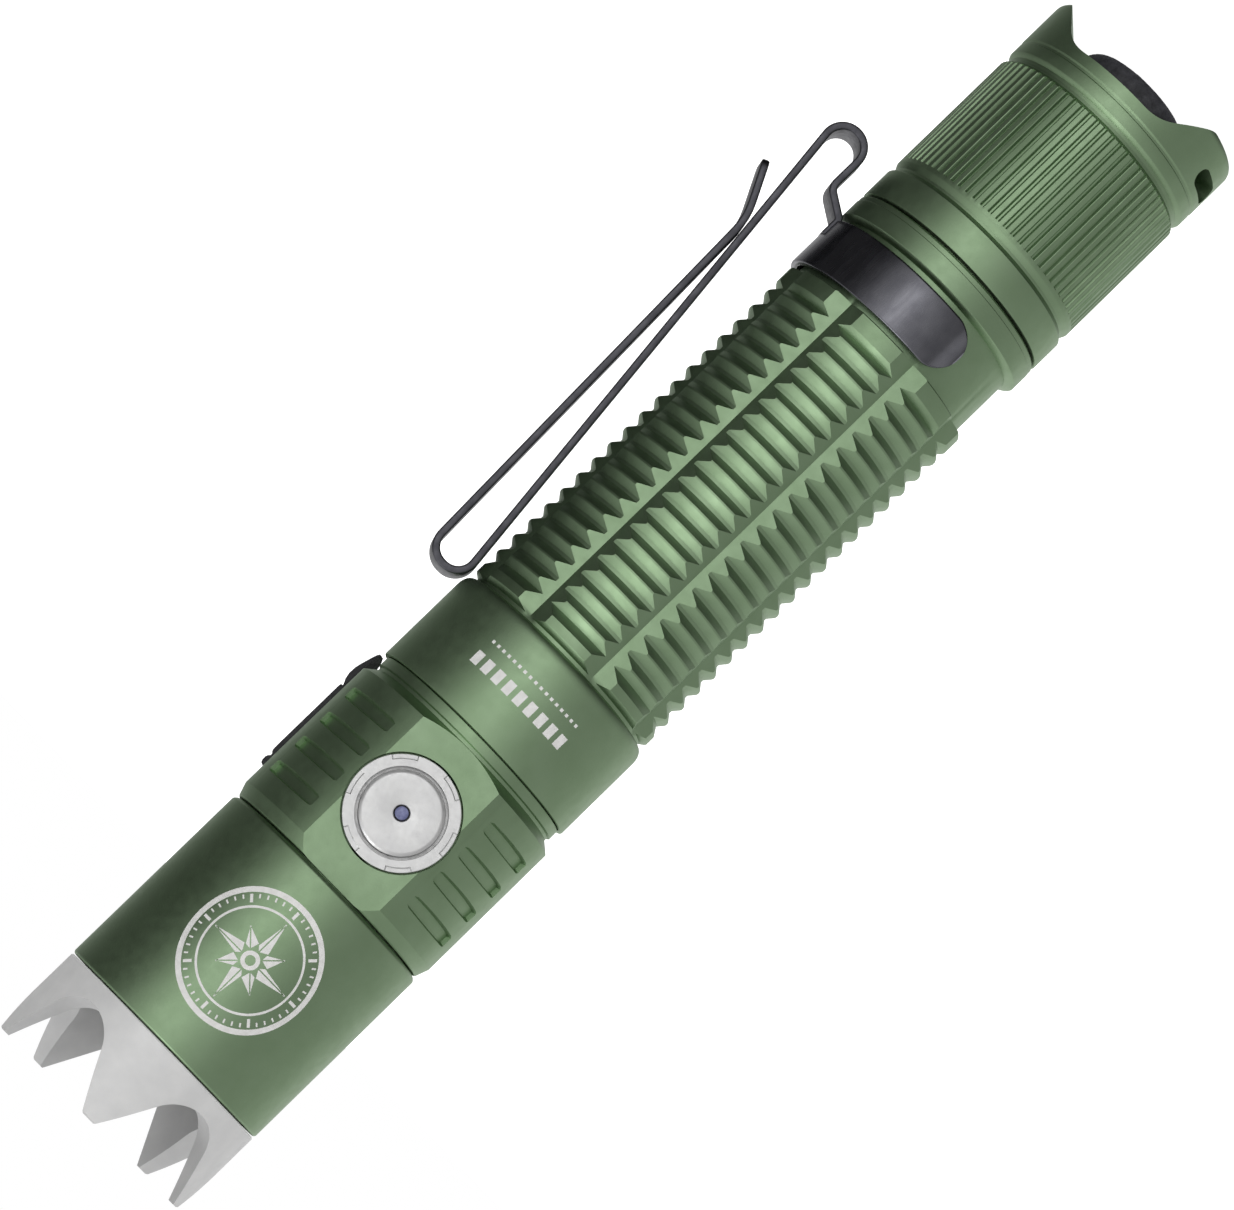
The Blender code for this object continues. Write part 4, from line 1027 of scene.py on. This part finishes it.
def flute_ring(radius, height):
    """One ring of the tail cap, with straight V flutes between flat lands along the knurl."""
    up = UP * height
    pitch = tau / FLUTES
    fluted = KNURL_LOW_Z < height < KNURL_HIGH_Z
    ring = []
    for index in range(FLUTES):
        for share in (0, 0.09, 0.23, 0.28, 0.42, 0.58, 0.72, 0.77, 0.91):
            reach = radius
            if fluted and share in (0, 0.09, 0.91):
                reach = FLUTE_FLOOR_R
            elif fluted and share in (0.23, 0.77):
                reach = radius - 0.04 * MM
            ring.append(outward((index + share) * pitch) * reach + up)
    return ring


def tail_cap():
    bore = 11.7 * MM
    outline = [
        (bore, CAP_FRONT_Z), (CAP_R - 0.22 * MM, CAP_FRONT_Z),
        (CAP_R - 0.07 * MM, CAP_FRONT_Z - 0.06 * MM), (CAP_R, CAP_FRONT_Z - 0.22 * MM),
        (CAP_R, 26.02 * MM), (CAP_R - 0.06 * MM, 25.92 * MM), (12.3 * MM, 25.5 * MM),
        (12.3 * MM, 25.2 * MM), (KNURL_R - 0.06 * MM, 24.6 * MM), (KNURL_R, 24.45 * MM),
        (KNURL_R, KNURL_HIGH_Z + 0.04 * MM), (KNURL_R, KNURL_HIGH_Z - 0.04 * MM),
        (KNURL_R, KNURL_LOW_Z + 0.12 * MM), (KNURL_R - 0.1 * MM, KNURL_LOW_Z + 0.02 * MM),
        (KNURL_R - 0.12 * MM, KNURL_LOW_Z - 0.02 * MM), (12.25 * MM, 8.7 * MM),
        (12.2 * MM, CROWN_Z), (9.3 * MM, CROWN_Z), (9.3 * MM, 18.8 * MM), (bore, 18.8 * MM),
    ]
    cap = skin("cap", [flute_ring(radius, height) for radius, height in outline], True, 24)
    dress(cap, "tail_cap", "green_anodised", "tail_cap")
    crown_r = 12.7 * MM
    rounded = [
        (crown_r - 0.55 * MM * (1 - cos(turn)), 0.75 * MM * (1 - sin(turn))) for turn in quarter(5)
    ]
    outline = [
        (12.2 * MM, CROWN_Z), (12.2 * MM, 8.0 * MM), (crown_r - 0.09 * MM, 7.62 * MM),
        (crown_r - 0.04 * MM, 7.5 * MM), (crown_r - 0.04 * MM, 6.3 * MM),
        (crown_r - 0.12 * MM, 6.2 * MM), (crown_r - 0.12 * MM, 5.95 * MM), (crown_r, 5.75 * MM),
        *rounded,
        (7.6 * MM, 0), (7.6 * MM, 6.0 * MM), (9.3 * MM, 6.0 * MM), (9.3 * MM, CROWN_Z),
    ]
    crown = turned("crown", outline, 180)
    depth, half, tip_half = 4.5 * MM, 6.25 * MM, 10.5 * MM
    slope = (tip_half - half) / depth
    below = MM
    ease = 1.9 * MM
    profile = [(-tip_half - slope * below, -below)]
    corner = Vector((-half, depth))
    start = corner + Vector((-slope, -1)).normalized() * ease
    end = corner + Vector((1, 0)) * ease
    profile += curve(start, corner, end, 8)
    profile += [(-x, y) for x, y in profile[::-1]]
    across = facing(HORN_ANGLE - pi / 2)
    cut(crown, prism("rim_cut", profile, -15 * MM, 15 * MM, across))
    slot = [(y, x) for x, y in stadium(6.4 * MM, 2.2 * MM)]
    cut(crown, prism("lanyard_hole", slot, 6.5 * MM, 15 * MM, facing(radians(-67), 0, 3.9 * MM)))
    soften(crown, 0.2 * MM, 40, 3)
    dress(settle(crown), "tail_cap", "green_anodised")


def tail_boot():
    """Rubber boot of the tail button: a low dome with a pebbled skin, held by its flange."""
    flange_low, flange_high = 6.3 * MM, 7.5 * MM
    hollow_r, skin_z = 5.6 * MM, 2.6 * MM
    face_r, face_z, wall_r, wall_z = 5.0 * MM, 0.6 * MM, 7.0 * MM, 2.5 * MM
    face = [(face_r * step / 8, face_z) for step in range(8)]
    wide, tall = wall_r - face_r, wall_z - face_z
    dome = [(face_r + wide * sin(turn), face_z + tall * (1 - cos(turn))) for turn in quarter(14)]
    wall = [(wall_r, wall_z + (flange_low - wall_z) * step / 6) for step in range(1, 7)]
    outline = face + dome + wall + [
        (9.0 * MM, flange_low), (9.0 * MM, flange_high), (hollow_r, flange_high),
        (hollow_r, skin_z), (0, skin_z),
    ]
    boot = turned("boot", outline[::-1], 144, sharp=50)
    for vertex in boot.data.vertices:
        point = vertex.co
        radius = hypot(point.x, point.y)
        inside = point.z > 2.2 * MM and radius < 6.9 * MM
        if point.z < flange_low - 0.1 * MM and radius > hollow_r * 0.92 and not inside:
            grain = noise.noise(point * 2300)
            vertex.co = point + Vector((point.x, point.y, 0)).normalized() * grain * 0.1 * MM
    paint(boot, BOOT)
    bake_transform(boot)
    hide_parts("tail_boot")


# --- set


def carried_over():
    """Materials for the CAD nodes that are shown as they are."""
    slots = {part["node"]: part["material_slot"] for part in frame["record"]["subparts"]}
    for name, node in frame["nodes"].items():
        paint(node, FINISHES[slots[name]])
    spring = frame["nodes"]["tail_switch_spring"]
    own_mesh(spring)


def softbox(name, offset, width, height, energy):
    """Soft area light at that offset from the flashlight's middle, turned towards it."""
    light = bpy.data.lights.new(name, "AREA")
    light.shape = "RECTANGLE"
    light.size, light.size_y = width, height
    light.energy = energy
    lamp = link(name, light)
    lamp.location = UP * 0.08 + offset
    lamp.rotation_mode = "QUATERNION"
    lamp.rotation_quaternion = offset.to_track_quat("Z", "Y")
    lamp.visible_camera = False


def sky():
    """White surroundings: dark on the clip's side, and plain white where the camera sees them."""
    world = bpy.data.worlds.new("studio")
    bpy.context.scene.world = world
    world.use_nodes = True
    nodes, links = world.node_tree.nodes, world.node_tree.links
    nodes.clear()

    def maths(operation, first, second=None):
        node = nodes.new("ShaderNodeMath")
        node.operation = operation
        for socket, value in zip(node.inputs, (first, second)):
            if isinstance(value, (int, float)):
                socket.default_value = value
            elif value is not None:
                links.new(value, socket)
        return node.outputs[0]

    split = nodes.new("ShaderNodeSeparateXYZ")
    links.new(nodes.new("ShaderNodeTexCoord").outputs["Generated"], split.inputs[0])
    x, y, z = split.outputs
    turn = maths("ARCTAN2", x, maths("MULTIPLY", y, -1))
    share = maths("ADD", maths("DIVIDE", turn, tau), 0.5)
    ring = nodes.new("ShaderNodeValToRGB")
    # Degrees from the camera's side towards the clip's side, and the brightness there.
    stops = (
        (-180, 0.9), (-140, 0.85), (-110, 0.50), (-75, 0.42), (-45, 0.34), (-28, 0.42), (-12, 0.75),
        (12, 0.95), (32, 0.80), (52, 0.18), (66, 0.06), (110, 0.06), (132, 0.15), (155, 0.5),
        (180, 0.9),
    )
    ramp = ring.color_ramp
    while len(ramp.elements) < len(stops):
        ramp.elements.new(0.5)
    for element, (degrees, value) in zip(ramp.elements, stops):
        element.position = degrees / 360 + 0.5
        element.color = (value, value, value, 1)
    links.new(share, ring.inputs["Fac"])
    above = map_range(nodes, links, z, (0.42, 0.95, 0, 1))
    below = map_range(nodes, links, z, (-0.85, -0.3, 0.05, 1))
    above.interpolation_type = below.interpolation_type = "SMOOTHSTEP"
    overhead_strength = 0.75
    overhead = maths("MULTIPLY", above.outputs[0], overhead_strength)
    kept = maths("SUBTRACT", 1, above.outputs[0])
    glow = maths("ADD", maths("MULTIPLY", ring.outputs["Color"], kept), overhead)
    glow = maths("MULTIPLY", glow, below.outputs[0])
    seen = nodes.new("ShaderNodeLightPath").outputs["Is Camera Ray"]
    shown = maths("ADD", maths("MULTIPLY", glow, maths("SUBTRACT", 1, seen)), seen)
    background = nodes.new("ShaderNodeBackground")
    background.inputs["Color"].default_value = (1, 1, 1, 1)
    links.new(shown, background.inputs["Strength"])
    links.new(background.outputs[0], nodes.new("ShaderNodeOutputWorld").inputs[0])


def ground():
    """Pale floor under the horns, which neither shadows the flashlight nor shows in it."""
    bm = bmesh.new()
    floor_r, floor_gap = 4.0, 0.2 * MM
    bmesh.ops.create_circle(bm, cap_ends=True, segments=96, radius=floor_r)
    floor = add_mesh("floor", bm)
    floor.location.z = -floor_gap
    pale = Surface("pale_floor", (0.85, 0.85, 0.84), 0.0, 0.9)
    pale.blend(pale.noise(3, 2), (0.84, 0.84, 0.83), (0.86, 0.86, 0.855))
    pale.rough(pale.noise(20, 2), 0.85, 0.95)
    pale.set(Emission_Color=(1, 1, 1, 1), Emission_Strength=1.0)
    paint(floor, pale.material)
    floor.visible_glossy = floor.visible_shadow = False


def camera():
    """The photograph's view: a long lens, rolled so that the head is low and to the left."""
    lens = bpy.data.cameras.new("camera")
    lens.sensor_width, lens.lens = 36.0, 156.37
    lens.clip_start, lens.clip_end = 0.05, 20
    made = link("camera", lens)
    tilt, roll = radians(7.24), radians(44.18)
    aim, distance = Vector((-0.069, 0, 78.56)) * MM, 557.6 * MM
    back, up = Vector((0, -cos(tilt), sin(tilt))), Vector((0, sin(tilt), cos(tilt)))
    side = Vector((1, 0, 0))
    right = -up * cos(roll) - side * sin(roll)
    top = -up * sin(roll) + side * cos(roll)
    axes = Matrix((right, top, back)).transposed().to_4x4()
    made.matrix_world = Matrix.Translation(aim + back * distance) @ axes
    bpy.context.scene.camera = made


strike_bezel()
optics()
head_shell()
etched_marks()
switch_housing()
side_button()
port_cover()
body_tube()
pocket_clip()
tail_cap()
tail_boot()
carried_over()
sky()
softbox("front_softbox", outward(radians(13)) * 1.2 - UP * 0.22, 0.36, 1.0, 1.05)
softbox("high_softbox", outward(radians(8)) * 0.6 + UP * 1.05, 0.5, 0.5, 2.2)
ground()
camera()
bpy.context.scene.view_settings.view_transform = "Standard"
